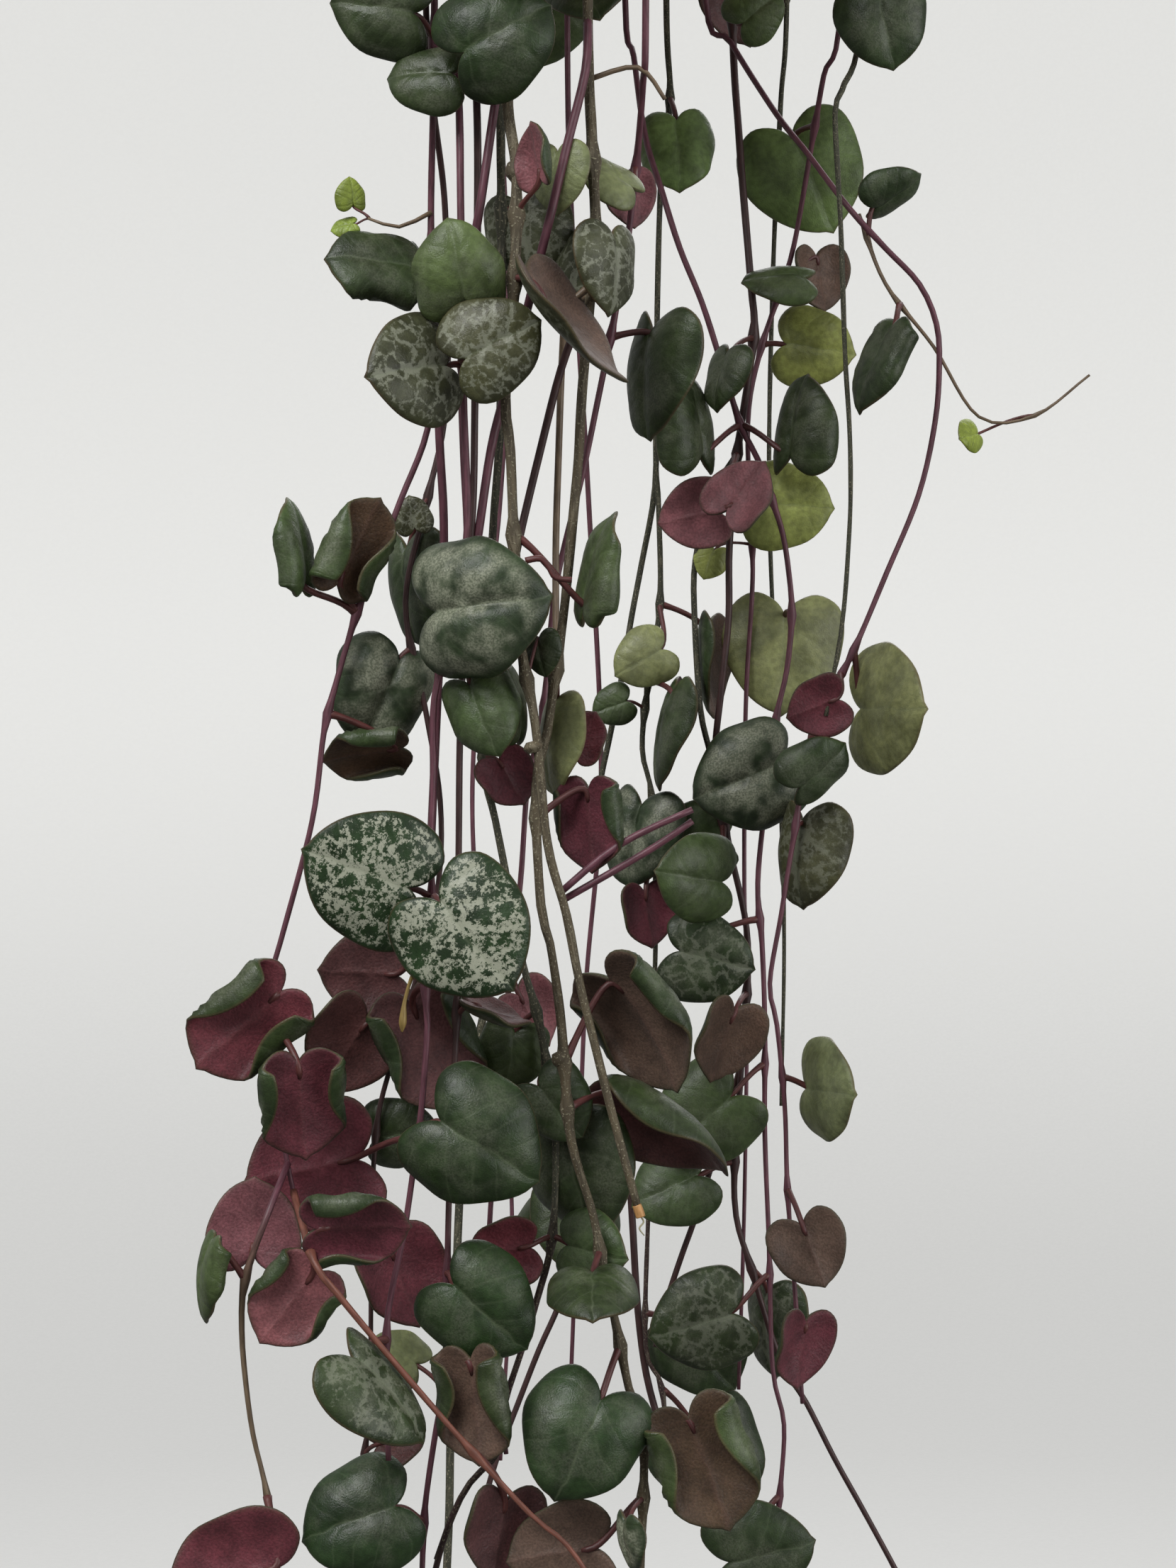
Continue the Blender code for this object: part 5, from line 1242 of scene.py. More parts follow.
# Which strands have woody or coloured stems, from their top to their end
STEM_TONES = {
    "strand_front_brown": ("woody", "woody"),
    "strand_front_right": ("woody", "woody"),
    "strand_front_green": ("grey_green", "dark_stem"),
    "strand_left_outer": ("purple_stem", "purple_stem"),
    "strand_left_outer_shoot_1": ("purple_stem", "tan_stem"),
    "strand_left_outer_shoot_2": ("salmon_stem", "salmon_stem"),
    "strand_left_outer_shoot_3": ("tan_stem", "pale_stem"),
    "strand_right_arc_shoot_1": ("tan_stem", "pale_stem"),
    "strand_left_second": ("dark_stem", "dark_stem"),
    "strand_front_second": ("dark_stem", "purple_stem"),
    "strand_right_inner": ("grey_green", "dark_stem"),
    "strand_right_mid": ("dark_stem", "dark_stem"),
    "strand_right_side": ("grey_green", "grey_green"),
    "strand_back_1": ("grey_green", "grey_green"),
}
WOODY = ("woody", "grey_green")

# Small growth of a strand: places in the front view, mm in front of the stem, radii in mm, and its tone
LOOSE_ENDS = {
    "strand_front_hearts": (
        (((592, 1352), (580, 1381), (571, 1412), (569, 1430), (568, 1444), (567, 1456)), 6,
         (0.32, 0.28, 0.26, 0.46, 0.52, 0.1), "golden_stalk"),
    ),
    "strand_front_brown": (
        (((725, 228), (727, 238), (730, 246), (732, 258)), 0, (0.9, 1.45, 1.5, 0.9), "woody"),
        (((750, 1046), (752, 1054), (754, 1062)), 0, (0.8, 1.35, 0.8), "woody"),
        (((741, 791), (762, 788), (774, 800), (784, 815), (807, 818)), 2, (0.45, 0.45, 0.4, 0.4, 0.4),
         "stalk_red"),
        (((898, 1700), (901, 1708), (904, 1717)), 0, (0.62, 0.68, 0.66), "cut_wood"),
        (((904, 1716), (908, 1724), (902, 1733), (909, 1743)), 0, (0.14, 0.12, 0.12, 0.08), "pale_stem"),
    ),
    "strand_front_right": (
        (((838, 330), (843, 342), (845, 352), (844, 364)), 0, (0.9, 1.5, 1.4, 0.9), "woody"),
        (((841, 342), (858, 348), (864, 366), (838, 398), (801, 429)), 2, (0.7, 0.9, 0.8, 0.6, 0.4),
         "tan_stem"),
        (((786, 1484), (791, 1494), (796, 1504)), 0, (0.85, 1.3, 0.85), "woody"),
        (((794, 1256), (873, 1192), (977, 1142)), 1, (0.5, 0.5, 0.45), "purple_stem"),
        (((790, 1272), (915, 1200), (977, 1158)), 0, (0.5, 0.5, 0.45), "purple_stem"),
        (((831, 112), (900, 95), (938, 140)), -3, (0.4, 0.35, 0.3), "tan_stem"),
    ),
}
# Long thin shoots without leaves: the height they start at on their stem, their places as across,
# down and how much nearer than the stem in mm, their radius in mm and their tone
BARE_SHOOTS = {
    "strand_front_right": (
        (40, ((826, 99, 3), (800, 205, 4), (775, 310, 4), (752, 403, 2), (735, 470, -1), (712, 556, -2),
         (693, 632, -2), (676, 745, -2), (666, 810, -3), (660, 880, -4)), 0.62, "purple_stem"),
        (417, ((822, 440, -3), (792, 519, -5), (763, 632, -6), (733, 758, -6), (722, 820, -6),
         (712, 900, -6)), 0.6, "dark_stem"),
        (417, ((800, 440, -6), (793, 506, -9), (788, 640, -9), (784, 779, -9), (785, 930, -6)), 0.5,
         "tan_stem"),
    ),
    "strand_front_green": (
        (100, ((692, 190, 2), (679, 280, 3), (668, 347, 2), (658, 430, 0), (652, 520, -2), (655, 640, -2),
         (660, 745, -2), (661, 860, -4)), 0.62, "purple_stem"),
        (2180, ((612, 2225, 0), (604, 2275, 0)), 0.45, "dark_stem"),
    ),
    "strand_left_outer": (
        (500, ((617, 560, 1), (621, 640, 1), (626, 733, 0), (625, 850, -2), (618, 969, -2), (612, 1100, -3),
         (606, 1230, -4)), 0.6, "purple_stem"),
    ),
    "strand_right_inner": (
        (560, ((924, 687, -2), (905, 796, -3), (891, 870, -3), (876, 961, -3), (859, 1045, -3),
         (847, 1103, -3), (838, 1180, -4)), 0.5, "grey_green"),
        (1500, ((895, 1560, -3), (888, 1631, -4), (893, 1737, -4), (900, 1850, -4), (912, 1940, -4),
         (932, 2015, -4)), 0.6, "dark_stem"),
    ),
    "strand_right_mid": (
        (640, ((1004, 700, -2), (981, 790, -3), (980, 875, -3), (988, 1000, -3), (1003, 1070, -3),
         (1012, 1150, -4)), 0.5, "grey_green"),
        (1500, ((1020, 1590, -3), (984, 1708, -4), (962, 1770, -4), (941, 1834, -4), (925, 1900, -4)), 0.5,
         "dark_stem"),
    ),
    "strand_back_2": (
        (1700, ((808, 1770, 0), (789, 1839, 0), (760, 1905, 0), (728, 1987, 0), (700, 2060, 0),
         (680, 2130, 0)), 0.5, "dark_stem"),
    ),
    "strand_back_3": (
        (1400, ((668, 1500, -2), (652, 1640, -3), (647, 1717, -3), (642, 1850, -3), (636, 2000, -3),
         (634, 2121, -3), (631, 2200, -3), (628, 2275, -3)), 0.7, "grey_green"),
    ),
}
# Leaves at the growing end of a shoot; here the node is a place in the front view, not only a height
TIP_LEAVES = {
    "strand_left_outer": (
        Leaf((521, 308), 497, 276, 5.0, 97, 24, 0.8, "young", 1),
        Leaf((521, 308), 488, 318, 4.2, 196, 30, 0.9, "young", 1),
    ),
}


def smooth_half_outline(steps):
    """The right half of a leaf's outline from notch to tip, in leaf widths, through the plain points."""
    given = [Vector(p) for p in HALF_OUTLINE]
    stretches = spans(given, NOTCH_TANGENT, Vector((-given[-2].x, given[-2].y)))
    made = [catmull(*stretch, i / steps) for stretch in stretches for i in range(steps)]
    made.append(given[-1])
    for point in made:
        point.y += TIP_POINT * exp(-((point.x / TIP_POINT_WIDTH) ** 2)) * (point.y > 0.6)
    return made


def leaf_rim(steps, lean):
    """The whole outline in leaf widths; one half is a little fuller than the other, as on a grown leaf."""
    right = smooth_half_outline(steps)
    fuller, slimmer = 1 + lean, 1 - lean
    left = [Vector((-p.x * slimmer, p.y)) for p in reversed(right[1:-1])]
    return [Vector((p.x * fuller, p.y)) for p in right] + left


def fold_angle(share, total, start):
    """The turn of a blade whose margin is folded over along a soft crease."""
    t = min(1.0, max(0.0, (share - start) / FOLD_WIDTH))
    return 0.12 * total * share + 0.88 * total * t * t * (3 - 2 * t)


def cross_section(turn):
    """The half cross-section of a blade as (across, down, angle) in half widths, from its turn."""
    table = [(0.0, 0.0, 0.0)]
    step = ROLL_TABLE_REACH / ROLL_TABLE_STEPS
    for i in range(ROLL_TABLE_STEPS):
        middle = turn((i + 0.5) * step)
        across, down, _ = table[-1]
        table.append((across + cos(middle) * step, down + sin(middle) * step, turn((i + 1) * step)))
    return table


def roll_table(roll, power):
    """The cross-section of a rolled blade, with most of the turn near the edge, and as wide to look at as the
    plain solid's even roll. A strong roll becomes a folded margin."""
    folded = abs(roll) > FOLDED
    wanted = (1.0 if folded else sin(abs(roll))) / abs(roll)
    low, high = (0.0, 1.0) if folded else (0.0, 4.0)
    for _ in range(24):
        guess = 0.5 * (low + high)
        if folded:
            table = cross_section(lambda share: fold_angle(share, FOLD_TURN, guess))
        else:
            table = cross_section(lambda share: guess * share**power)
        edge = round(ROLL_TABLE_STEPS / ROLL_TABLE_REACH)
        span = max(row[0] for row in table[:edge + 1]) if folded else table[edge][0]
        if (span > wanted) != folded:
            low = guess
        else:
            high = guess
    sign = 1 if roll > 0 else -1
    return [(across, sign * down, sign * angle) for across, down, angle in table]


def read_table(table, share):
    spot = min(share / ROLL_TABLE_REACH * ROLL_TABLE_STEPS, ROLL_TABLE_STEPS - 0.001)
    i = int(spot)
    a, b, t = table[i], table[i + 1], spot - i
    return tuple(p + (q - p) * t for p, q in zip(a, b))


class Sheet:
    """The curved middle surface of one leaf, with its creased midrib, cushioned halves and uneven margin."""

    def __init__(self, form, kind, seed):
        self.width, roll, curl = form
        self.half = 0.5 * self.width
        self.table = roll_table(roll if abs(roll) > 0.05 else 0.05, kind.edge)
        self.crease = 1 / abs(roll) if abs(roll) > FOLDED else 0
        self.along = curl / self.half
        self.bulge = kind.bulge * MM * self.width / USUAL_WIDTH
        self.seed = seed

    def lift(self, x, y, share):
        """How far the surface stands off the plain form, from the midrib's crease, the cushions and waves."""
        side = abs(x) / self.half
        near = exp(-((x / (CREASE_WIDTH * self.width)) ** 2))
        crease = -CREASE_DEPTH * self.bulge * near * (1 - 0.6 * share)
        cushion = self.bulge * sin(pi * min(1.0, side * 1.05)) * (1 - share**3)
        spot = Vector((x / self.width * 2.3, y / self.width * 2.3, self.seed * 3.7))
        uneven = UNEVEN_LIFT * noise.noise(spot) * self.width / USUAL_WIDTH
        around = atan2(y - BLADE_CENTRE * self.width, x)
        wave = WAVE_LIFT * self.width * share**4 * sin(WAVES * around + self.seed * 9)
        return crease + cushion + uneven + wave

    def point(self, x, y, above, share):
        if self.crease and y < 0:
            y *= 1 - FOLDED_LOBE * min(1.0, abs(x) / self.half / self.crease) ** 2
        across, down, angle = read_table(self.table, abs(x) / self.half)
        sign = 1 if x >= 0 else -1
        off = above + self.lift(x, y, share)
        side = sign * (self.half * across + off * sin(angle))
        height = off * cos(angle) - self.half * down
        turned = self.along * (y - CURL_MIDDLE * self.width)
        reach = 1 / self.along + height
        return Vector((
            side,
            CURL_MIDDLE * self.width + reach * sin(turned),
            reach * cos(turned) - 1 / self.along,
        ))


class StrandMesh:
    """Collects one strand's corners and faces, with what its materials read at each corner.

    It holds the colour tones, the leaf thickness and the random draws that every part of the strand takes.
    """

    def __init__(self, tones=None, thickness=0.0, draw=None):
        self.tones, self.thickness, self.draw = tones, thickness, draw
        self.points, self.faces, self.looks = [], [], []
        self.place, self.tone, self.marks = [], [], []

    def add(self, points, faces, looks, place, tone, marks):
        start = len(self.points)
        self.points += [tuple(p) for p in points]
        self.faces += [tuple(start + corner for corner in face) for face in faces]
        self.looks += looks
        self.place += [tuple(p) for p in place]
        self.tone += [(*c, 1.0) for c in tone]
        self.marks += [tuple(m) for m in marks]

    def build(self, name, materials):
        piece = new_object(name, self.points, self.faces)
        mesh = piece.data
        for label, kind, key, values in (
            ("surface_place", "FLOAT_VECTOR", "vector", self.place),
            ("surface_tone", "FLOAT_COLOR", "color", self.tone),
            ("surface_marks", "FLOAT_VECTOR", "vector", self.marks),
        ):
            layer = mesh.attributes.new(label, kind, "POINT")
            layer.data.foreach_set(key, [number for value in values for number in value])
        for made in materials:
            mesh.materials.append(made)
        mesh.polygons.foreach_set("material_index", self.looks)
        mesh.shade_smooth()
        mesh.validate()
        return piece


def varied(colour, draw, spread=0.12):
    """A tone made a little lighter or darker, and a little warmer or cooler."""
    light = 1 + draw.uniform(-spread, spread)
    warm = draw.uniform(-0.05, 0.05)
    return (colour[0] * light * (1 + warm), colour[1] * light, colour[2] * light * (1 - warm))


def add_leaf(mesh, facts, kind_name):
    """Adds one fine leaf where the plain one is."""
    _, notch, basis, form = facts
    tones, draw = mesh.tones, mesh.draw
    kind = KINDS[kind_name]
    width = form[0]
    seed = draw.random()
    sheet = Sheet(form, kind, seed)
    steps = RIM_STEPS_LARGE if width > SMALL_LEAF else RIM_STEPS_SMALL
    rim = leaf_rim(steps, draw.uniform(-0.05, 0.05))
    count = len(rim)
    heart = Vector((0, BLADE_CENTRE))
    flat = [(heart, 0.0, 1.0)]
    for share, thick in zip(RINGS, RING_THICKNESS):
        flat += [(heart.lerp(p, share), share, thick) for p in rim]
    under = len(flat)
    inner = under - count
    half = 0.5 * mesh.thickness * min(1.0, width / FULL_THICKNESS_WIDTH)
    both = [(*row, half) for row in flat] + [(*row, -half) for row in flat[:inner]]
    points = [sheet.point(p.x * width, p.y * width, side * thick, share) for p, share, thick, side in both]
    upper = disc_faces(len(RINGS), count)
    lower = [tuple(c if c >= inner else c + under for c in reversed(face)) for face in upper]
    looks = [LOOK_UPPER] * len(upper) + [LOOK_UNDER] * len(lower)
    top, low = varied(tones[kind.upper], draw), varied(tones[kind.under], draw)
    place = [(p.x, p.y, seed * 40) for p, *_ in both]
    tone = [top] * under + [low] * inner
    marks = [(kind.marbling, kind.speckle, share) for _, share, *_ in both]
    mesh.add([notch + basis @ p for p in points], upper + lower, looks, place, tone, marks)
    return sheet


def ring_frames(path):
    """Two directions across the way at each point of a path, carried along it without twisting."""
    frames = []
    one = way_at(path, 0).orthogonal().normalized()
    for i in range(len(path)):
        way = way_at(path, i)
        one = (one - way * one.dot(way)).normalized()
        frames.append((one, way.cross(one)))
    return frames


def add_rod(mesh, path, radii, sides, look, tones, seed):
    """Adds a round rod along a path; radii and tones are given at each point."""
    points, place, tone = [], [], []
    travelled = 0.0
    last = path[0]
    for centre, radius, colour, (one, two) in zip(path, radii, tones, ring_frames(path)):
        travelled += (centre - last).length
        last = centre
        for k in range(sides):
            angle = tau * k / sides
            out = one * cos(angle) + two * sin(angle)
            points.append(centre + out * radius)
            place.append((cos(angle), sin(angle), travelled / MM + seed * 60))
            tone.append(colour)
    faces = tube_faces(len(path), sides)
    mesh.add(points, faces, [look] * len(faces), place, tone, [(0, 0, 0)] * len(points))


def mixed(one, two, share):
    return tuple(a + (b - a) * share for a, b in zip(one, two))


def stem_radii(path, radius, nodes, woody, seed):
    """A stem's radius along its path: it thins to its end, and swells at each leaf node."""
    made = []
    for i, centre in enumerate(path):
        size = radius * (1 - (1 - STEM_THINS) * (i / (len(path) - 1)))
        near = min(((centre - node).length for node in nodes), default=1.0)
        size *= 1 + NODE_SWELL * exp(-((near / NODE_REACH) ** 2))
        size *= 1 + (0.13 if woody else 0.05) * noise.noise(Vector((seed * 50, 0, centre.z * 160)))
        made.append(size)
    return made


def stalk_path(start, end, blade_way):
    """A leaf stalk's bent way from its node into the notch."""
    reach = (end - start).length
    first = start + (end - start) * 0.35 + Vector((0, 0, 0.12 * reach))
    second = end - blade_way * min(0.35 * reach, STALK_TUCK)
    shares = [i / STALK_STEPS for i in range(STALK_STEPS + 1)]
    return [
        start * (1 - t) ** 3 + first * 3 * t * (1 - t) ** 2 + second * 3 * t * t * (1 - t) + end * t**3
        for t in shares
    ]


def add_stalk(mesh, start, facts, sheet):
    """Adds the stalk that carries a leaf, thicker where it leaves the stem."""
    _, notch, basis, form = facts
    end = notch + basis @ sheet.point(0, 0.06 * form[0], STALK_UNDER, 0.3)
    near = notch + basis @ sheet.point(0, 0.16 * form[0], STALK_UNDER, 0.2)
    path = stalk_path(start, end, (near - end).normalized())
    path += [end.lerp(near, 0.6)]
    slim = min(1.0, form[0] / FULL_STALK_WIDTH)
    radii = [slim * STALK_RADIUS * (0.92 + 0.35 * exp(-((i / 1.3) ** 2))) for i in range(STALK_STEPS + 1)]
    radii.append(STALK_END_RADIUS)
    colour = varied(mesh.tones["stalk_red"], mesh.draw)
    add_rod(mesh, path, radii, STALK_SIDES, LOOK_YOUNG, [colour] * len(path), mesh.draw.random())


def nearest_of(path, point):
    return min(path, key=lambda p: (p - point).length_squared)


def add_stem(mesh, name, path, radius, nodes):
    """Adds a stem with its swollen nodes."""
    seed = mesh.draw.random()
    first, last = STEM_TONES.get(name, ("purple_stem", "purple_stem"))
    woody = first in WOODY
    radii = stem_radii(path, radius, nodes, woody, seed)
    turns = [min(1.0, max(0.0, (TONE_TURNS_AT - p.z) / TONE_TURN_LENGTH)) for p in path]
    colours = [mixed(mesh.tones[first], mesh.tones[last], turn) for turn in turns]
    add_rod(mesh, path, radii, STEM_SIDES, LOOK_WOODY if woody else LOOK_YOUNG, colours, seed)


def add_growth(mesh, points, radii, tone):
    """Adds one rod on a smooth path through a few points, with a radius in mm at each."""
    path, thick = (
        [catmull(*span, step / 4) for span in spans(row, row[0], row[-1]) for step in range(4)] + [row[-1]]
        for row in (points, radii)
    )
    radii = [size * MM for size in thick]
    look = LOOK_WOODY if tone in WOODY else LOOK_YOUNG
    add_rod(mesh, path, radii, STALK_SIDES, look, [mesh.tones[tone]] * len(path), mesh.draw.random())


def add_loose_ends(mesh, plan, stem):
    """Adds a strand's buds, stubs, swellings and curly stalks, its bare shoots and its tip leaves."""
    for places, nearer, radii, tone in LOOSE_ENDS.get(plan.name, ()):
        depth = nearest_on(stem, seen(0, places[0][1], plan.low).z).y - nearer * MM
        add_growth(mesh, [seen(*place, depth) for place in places], radii, tone)
    for height, places, radius, tone in BARE_SHOOTS.get(plan.name, ()):
        start = nearest_on(stem, seen(0, height, plan.low).z)
        points = [start] + [seen(across, down, start.y - near * MM) for across, down, near in places]
        add_growth(mesh, points, [radius] * len(points), tone)
    for spot in TIP_LEAVES.get(plan.name, ()):
        depth = nearest_on(stem, seen(0, spot.down, plan.low).z).y - spot.nearer * MM
        basis = facing(spot.aim, spot.pitch, spot.turn)
        form = (spot.width * MM, spot.roll, spot.curl)
        notch = seen(spot.across, spot.down, depth) - basis @ bent(0, BLADE_CENTRE * form[0], 0, *form)
        facts = (seen(*spot.node, depth), notch, basis, form)
        add_stalk(mesh, facts[0], facts, add_leaf(mesh, facts, spot.kind))


def strand_mesh(laid, grown, tones, thickness, seed):
    """One strand: its stem, shoots, stalks and leaves in a single fine mesh."""
    plan, _, branches, fine, fine_branches = laid
    mesh = StrandMesh(tones, thickness, random.Random(SEED * 1000 + seed))
    ways = [fine, *fine_branches]
    everywhere = [p for way in ways for p in way]
    nodes = []
    for facts, kind_name in grown:
        start = nearest_of(everywhere, facts[0])
        nodes.append(start)
        add_stalk(mesh, start, facts, add_leaf(mesh, facts, kind_name))
    add_stem(mesh, plan.name, fine, plan.radius, nodes)
    for i, (way, (_, thin, _)) in enumerate(zip(fine_branches, branches), 1):
        add_stem(mesh, f"{plan.name}_shoot_{i}", way, thin, nodes)
    add_loose_ends(mesh, plan, fine)
    return mesh


def new_object(name, points, faces):
    """A new mesh object in the scene."""
    mesh = bpy.data.meshes.new(name)
    mesh.from_pydata([tuple(p) for p in points], [], faces)
    made = bpy.data.objects.new(name, mesh)
    bpy.context.scene.collection.objects.link(made)
    return made


def shape_piece(name, shape, material, node, smooth=True):
    """A mesh piece that stands for a CAD node."""
    piece = new_object(name, *shape)
    piece.data.materials.append(material)
    work = bmesh.new()
    work.from_mesh(piece.data)
    bmesh.ops.recalc_face_normals(work, faces=work.faces)
    work.to_mesh(piece.data)
    work.free()
    if smooth:
        piece.data.shade_smooth()
    put_in_place(piece, node)
    return piece


def put_in_place(piece, node):
    """Ties a piece to the model's only body, and hides the CAD node that it stands for."""
    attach(piece, BODY)
    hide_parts(node)


def turned_shape(profile, steps):
    """Corners and faces turned about the upright axis from (radius, height); ends on the axis close it."""
    points, faces, rows = [], [], []
    for radius, height in profile:
        if radius < 1e-7:
            rows.append([len(points)] * steps)
            points.append(Vector((0, 0, height)))
            continue
        rows.append(list(range(len(points), len(points) + steps)))
        points += [at_azimuth(tau * k / steps, radius, height) for k in range(steps)]
    for low, high in zip(rows, rows[1:]):
        for k in range(steps):
            corners = [low[k], low[(k + 1) % steps], high[(k + 1) % steps], high[k]]
            faces.append(tuple(dict.fromkeys(corners)))
    return points, [face for face in faces if len(face) > 2]


def rounded(profile, radius, steps=5):
    """The profile with each inner corner replaced by a small arc."""
    made = [profile[0]]
    for before, corner, after in zip(profile, profile[1:], profile[2:]):
        a, b, c = Vector(before), Vector(corner), Vector(after)
        reach = min(radius, 0.45 * (a - b).length, 0.45 * (c - b).length)
        start, end = b + (a - b).normalized() * reach, b + (c - b).normalized() * reach
        for i in range(steps + 1):
            t = i / steps
            made.append(tuple(start * (1 - t) ** 2 + b * 2 * t * (1 - t) + end * t * t))
    return made + [profile[-1]]


def drilled(piece, spots, radius, low, high):
    """Round holes straight down through a piece."""
    rods = [rod(Vector((spot.x, spot.y, low)), Vector((spot.x, spot.y, high)), radius, 24) for spot in spots]
    drill = new_object("drill", *merged(rods))
    hole = piece.modifiers.new("holes", "BOOLEAN")
    hole.operation = "DIFFERENCE"
    hole.solver = "EXACT"
    hole.object = drill
    bpy.context.view_layer.update()
    graph = bpy.context.evaluated_depsgraph_get()
    cut_mesh = bpy.data.meshes.new_from_object(piece.evaluated_get(graph))
    piece.modifiers.clear()
    piece.data = cut_mesh
    bpy.data.objects.remove(drill)


def round_wire(points, radius, sides):
    """Corners and faces of a wire whose ends are rounded."""
    mesh = StrandMesh()
    first, last = points[0], points[-1]
    lead, tail = (first - points[1]).normalized(), (last - points[-2]).normalized()
    caps = (0.98, 0.85, 0.5)
    path = [first + lead * radius * (share - 0.98) for share in caps] + points[1:-1]
    path += [last + tail * radius * (share - 0.98) for share in reversed(caps)]
    sizes = [0.2, 0.55, 0.86] + [1.0] * (len(points) - 2) + [0.86, 0.55, 0.2]
    add_rod(mesh, path, [radius * size for size in sizes], sides, 0, [(0, 0, 0)] * len(path), 0)
    return mesh.points, mesh.faces


def merged(shapes):
    """Several shapes as one list of corners and faces."""
    points, faces = [], []
    for more, sides in shapes:
        faces += [tuple(len(points) + corner for corner in side) for side in sides]
        points += [Vector(p) for p in more]
    return points, faces


def headed_rod(centre, low, high, radius):
    """A small domed head on a wire, turned about its own upright axis."""
    profile = rounded([(0, high), (radius, high), (radius, low), (0, low)], 0.0005, 3)
    points, faces = turned_shape(profile, 20)
    return [p + Vector((centre.x, centre.y, 0)) for p in points], faces


def lump(draw, centre, size, flat):
    """A small irregular crumb, bark chip or perlite grain."""
    turn = Matrix.Rotation(draw.uniform(0, tau), 3, "Z")
    turn = turn @ Matrix.Rotation(draw.uniform(-0.5, 0.5), 3, "X")
    stretch = (draw.uniform(0.8, 1.5), draw.uniform(0.6, 1.0), flat * draw.uniform(0.6, 1.0))

    def moved(corner):
        rough = 1 + draw.uniform(-0.22, 0.22)
        return centre + turn @ (Vector([a * b for a, b in zip(corner, stretch)]) * size * rough)

    return ball(1, moved)


def soil_height(radius):
    """The potting mix's level: a low mound in the middle that falls to the wall."""
    if radius < MOUND_FLAT:
        return SOIL_TOP + SOIL_MOUND
    return SOIL_TOP + SOIL_MOUND * max(0.0, 1 - (radius - MOUND_FLAT) / MOUND_FALL)


def tone_setting(name, description, code):
    """A colour setting whose default is an sRGB hex value."""
    return FloatVectorProperty(
        name=name, description=description, subtype="COLOR", size=3, min=0.0, max=1.0, default=linear(code)
    )


def amount_setting(name, description, value, **more):
    """A setting that isn't below nothing."""
    return FloatProperty(name=name, description=description, default=value, min=0.0, **more)


# Studio, in metres
SWEEP_BEND = 1.2
SWEEP_STEPS = 16
SWEEP_TOP = 1.6
LIGHTS_AIM = Vector((0.0, 0.0, -0.42))
SENSOR_MM = 36.0

LENGTH = {"subtype": "DISTANCE", "unit": "LENGTH", "precision": 5}
POWER = {"subtype": "POWER", "unit": "POWER"}


class FoliageSettings(PropertyGroup):
    leaf_thickness: amount_setting("Leaf thickness", "Thickness of a blade at its middle", 0.00118, **LENGTH)
    dark_green: tone_setting("Dark leaf", "Upper side of most grown leaves", "2E3A21")
    # Painted shade: a darker copy of the leaf green for leaves that hang in shade
    deep_green: tone_setting("Deep green", "Upper side of the oldest, shaded leaves", "24341B")
    fresh_green: tone_setting("Fresh leaf", "Upper side of the middling green leaves", "3C4A2B")
    # Painted light: a lighter copy of the leaf green for the leaves at the back, which get less light
    leaf_green: tone_setting("Leaf green", "Upper side of the thin green leaves at the back", "5E7240")
    bright_green: tone_setting("Young leaf", "Upper side of the younger leaves", "4A5935")
    lime_green: tone_setting("Lime leaf", "Upper side of the palest thin leaves", "8A9250")
    young_green: tone_setting("Newest leaf", "Upper side of the leaves at a growing tip", "7D8C3A")
    olive_green: tone_setting("Olive leaf", "Upper side of leaves that fade to olive", "787D54")
    bloom_green: tone_setting("Bloomed leaf", "Upper side under a dusty bloom", "2C3824")
    blotch_green: tone_setting("Blotch islands", "Green islands in the silver leaves", "1D2E16")
    bronze_green: tone_setting("Bronze leaf", "Upper side of the bronzed leaves", "3F412C")
    plum_under: tone_setting("Plum underside", "Underside of most dark leaves", "523231")
    rose_under: tone_setting("Rose underside", "Underside of the rosy leaves", "74464A")
    maroon_under: tone_setting("Maroon underside", "Underside of the deep red leaves", "5E2C34")
    olive_under: tone_setting("Olive underside", "Underside of the greener leaves", "4A3829")
    green_under: tone_setting("Green underside", "Underside of the youngest leaves", "5C6438")
    bronze_under: tone_setting("Bronze underside", "Underside of the bronzed leaves", "564338")
    stalk_red: tone_setting("Leaf stalk", "Skin of the leaf stalks", "56302E")
    woody: tone_setting("Woody stem", "Bark of the oldest stems", "524835")
    grey_green: tone_setting("Grey-green stem", "Skin of the greener old stems", "3E3F30")
    purple_stem: tone_setting("Purple stem", "Skin of most young stems", "5E3842")
    salmon_stem: tone_setting("Salmon stem", "Skin of the reddish front stem", "6E4438")
    tan_stem: tone_setting("Tan stem", "Skin of a young shoot", "6A5A48")
    pale_stem: tone_setting("Pale stem", "Skin of a shoot's growing end", "9A9478")
    golden_stalk: tone_setting("Bud stalk", "Skin of a flower bud and its stalk", "86703E")
    cut_wood: tone_setting("Cut end", "Pale wood where a stem is cut", "B98A56")
    dark_stem: tone_setting("Dark stem", "Skin of the thin dark stems", "3F2A29")


class PotSettings(PropertyGroup):
    plastic: tone_setting("Pot plastic", "Colour of the moulded pot and hub", "8F6450")
    steel: tone_setting("Wire steel", "Colour of the zinc coated wires and hook", "C3C5C6")
    peat: tone_setting("Potting mix", "Colour of the dark potting mix", "3A2C22")
    bark: tone_setting("Bark", "Colour of the bark pieces in the mix", "6B4A30")
    perlite: tone_setting("Perlite", "Colour of the white grains in the mix", "DAD7CE")
    tuber: tone_setting("Tuber skin", "Colour of the tubers on the mix", "8A6C4C")
    crumbs: IntProperty(name="Crumbs", description="Loose pieces on the potting mix", default=620, min=0)


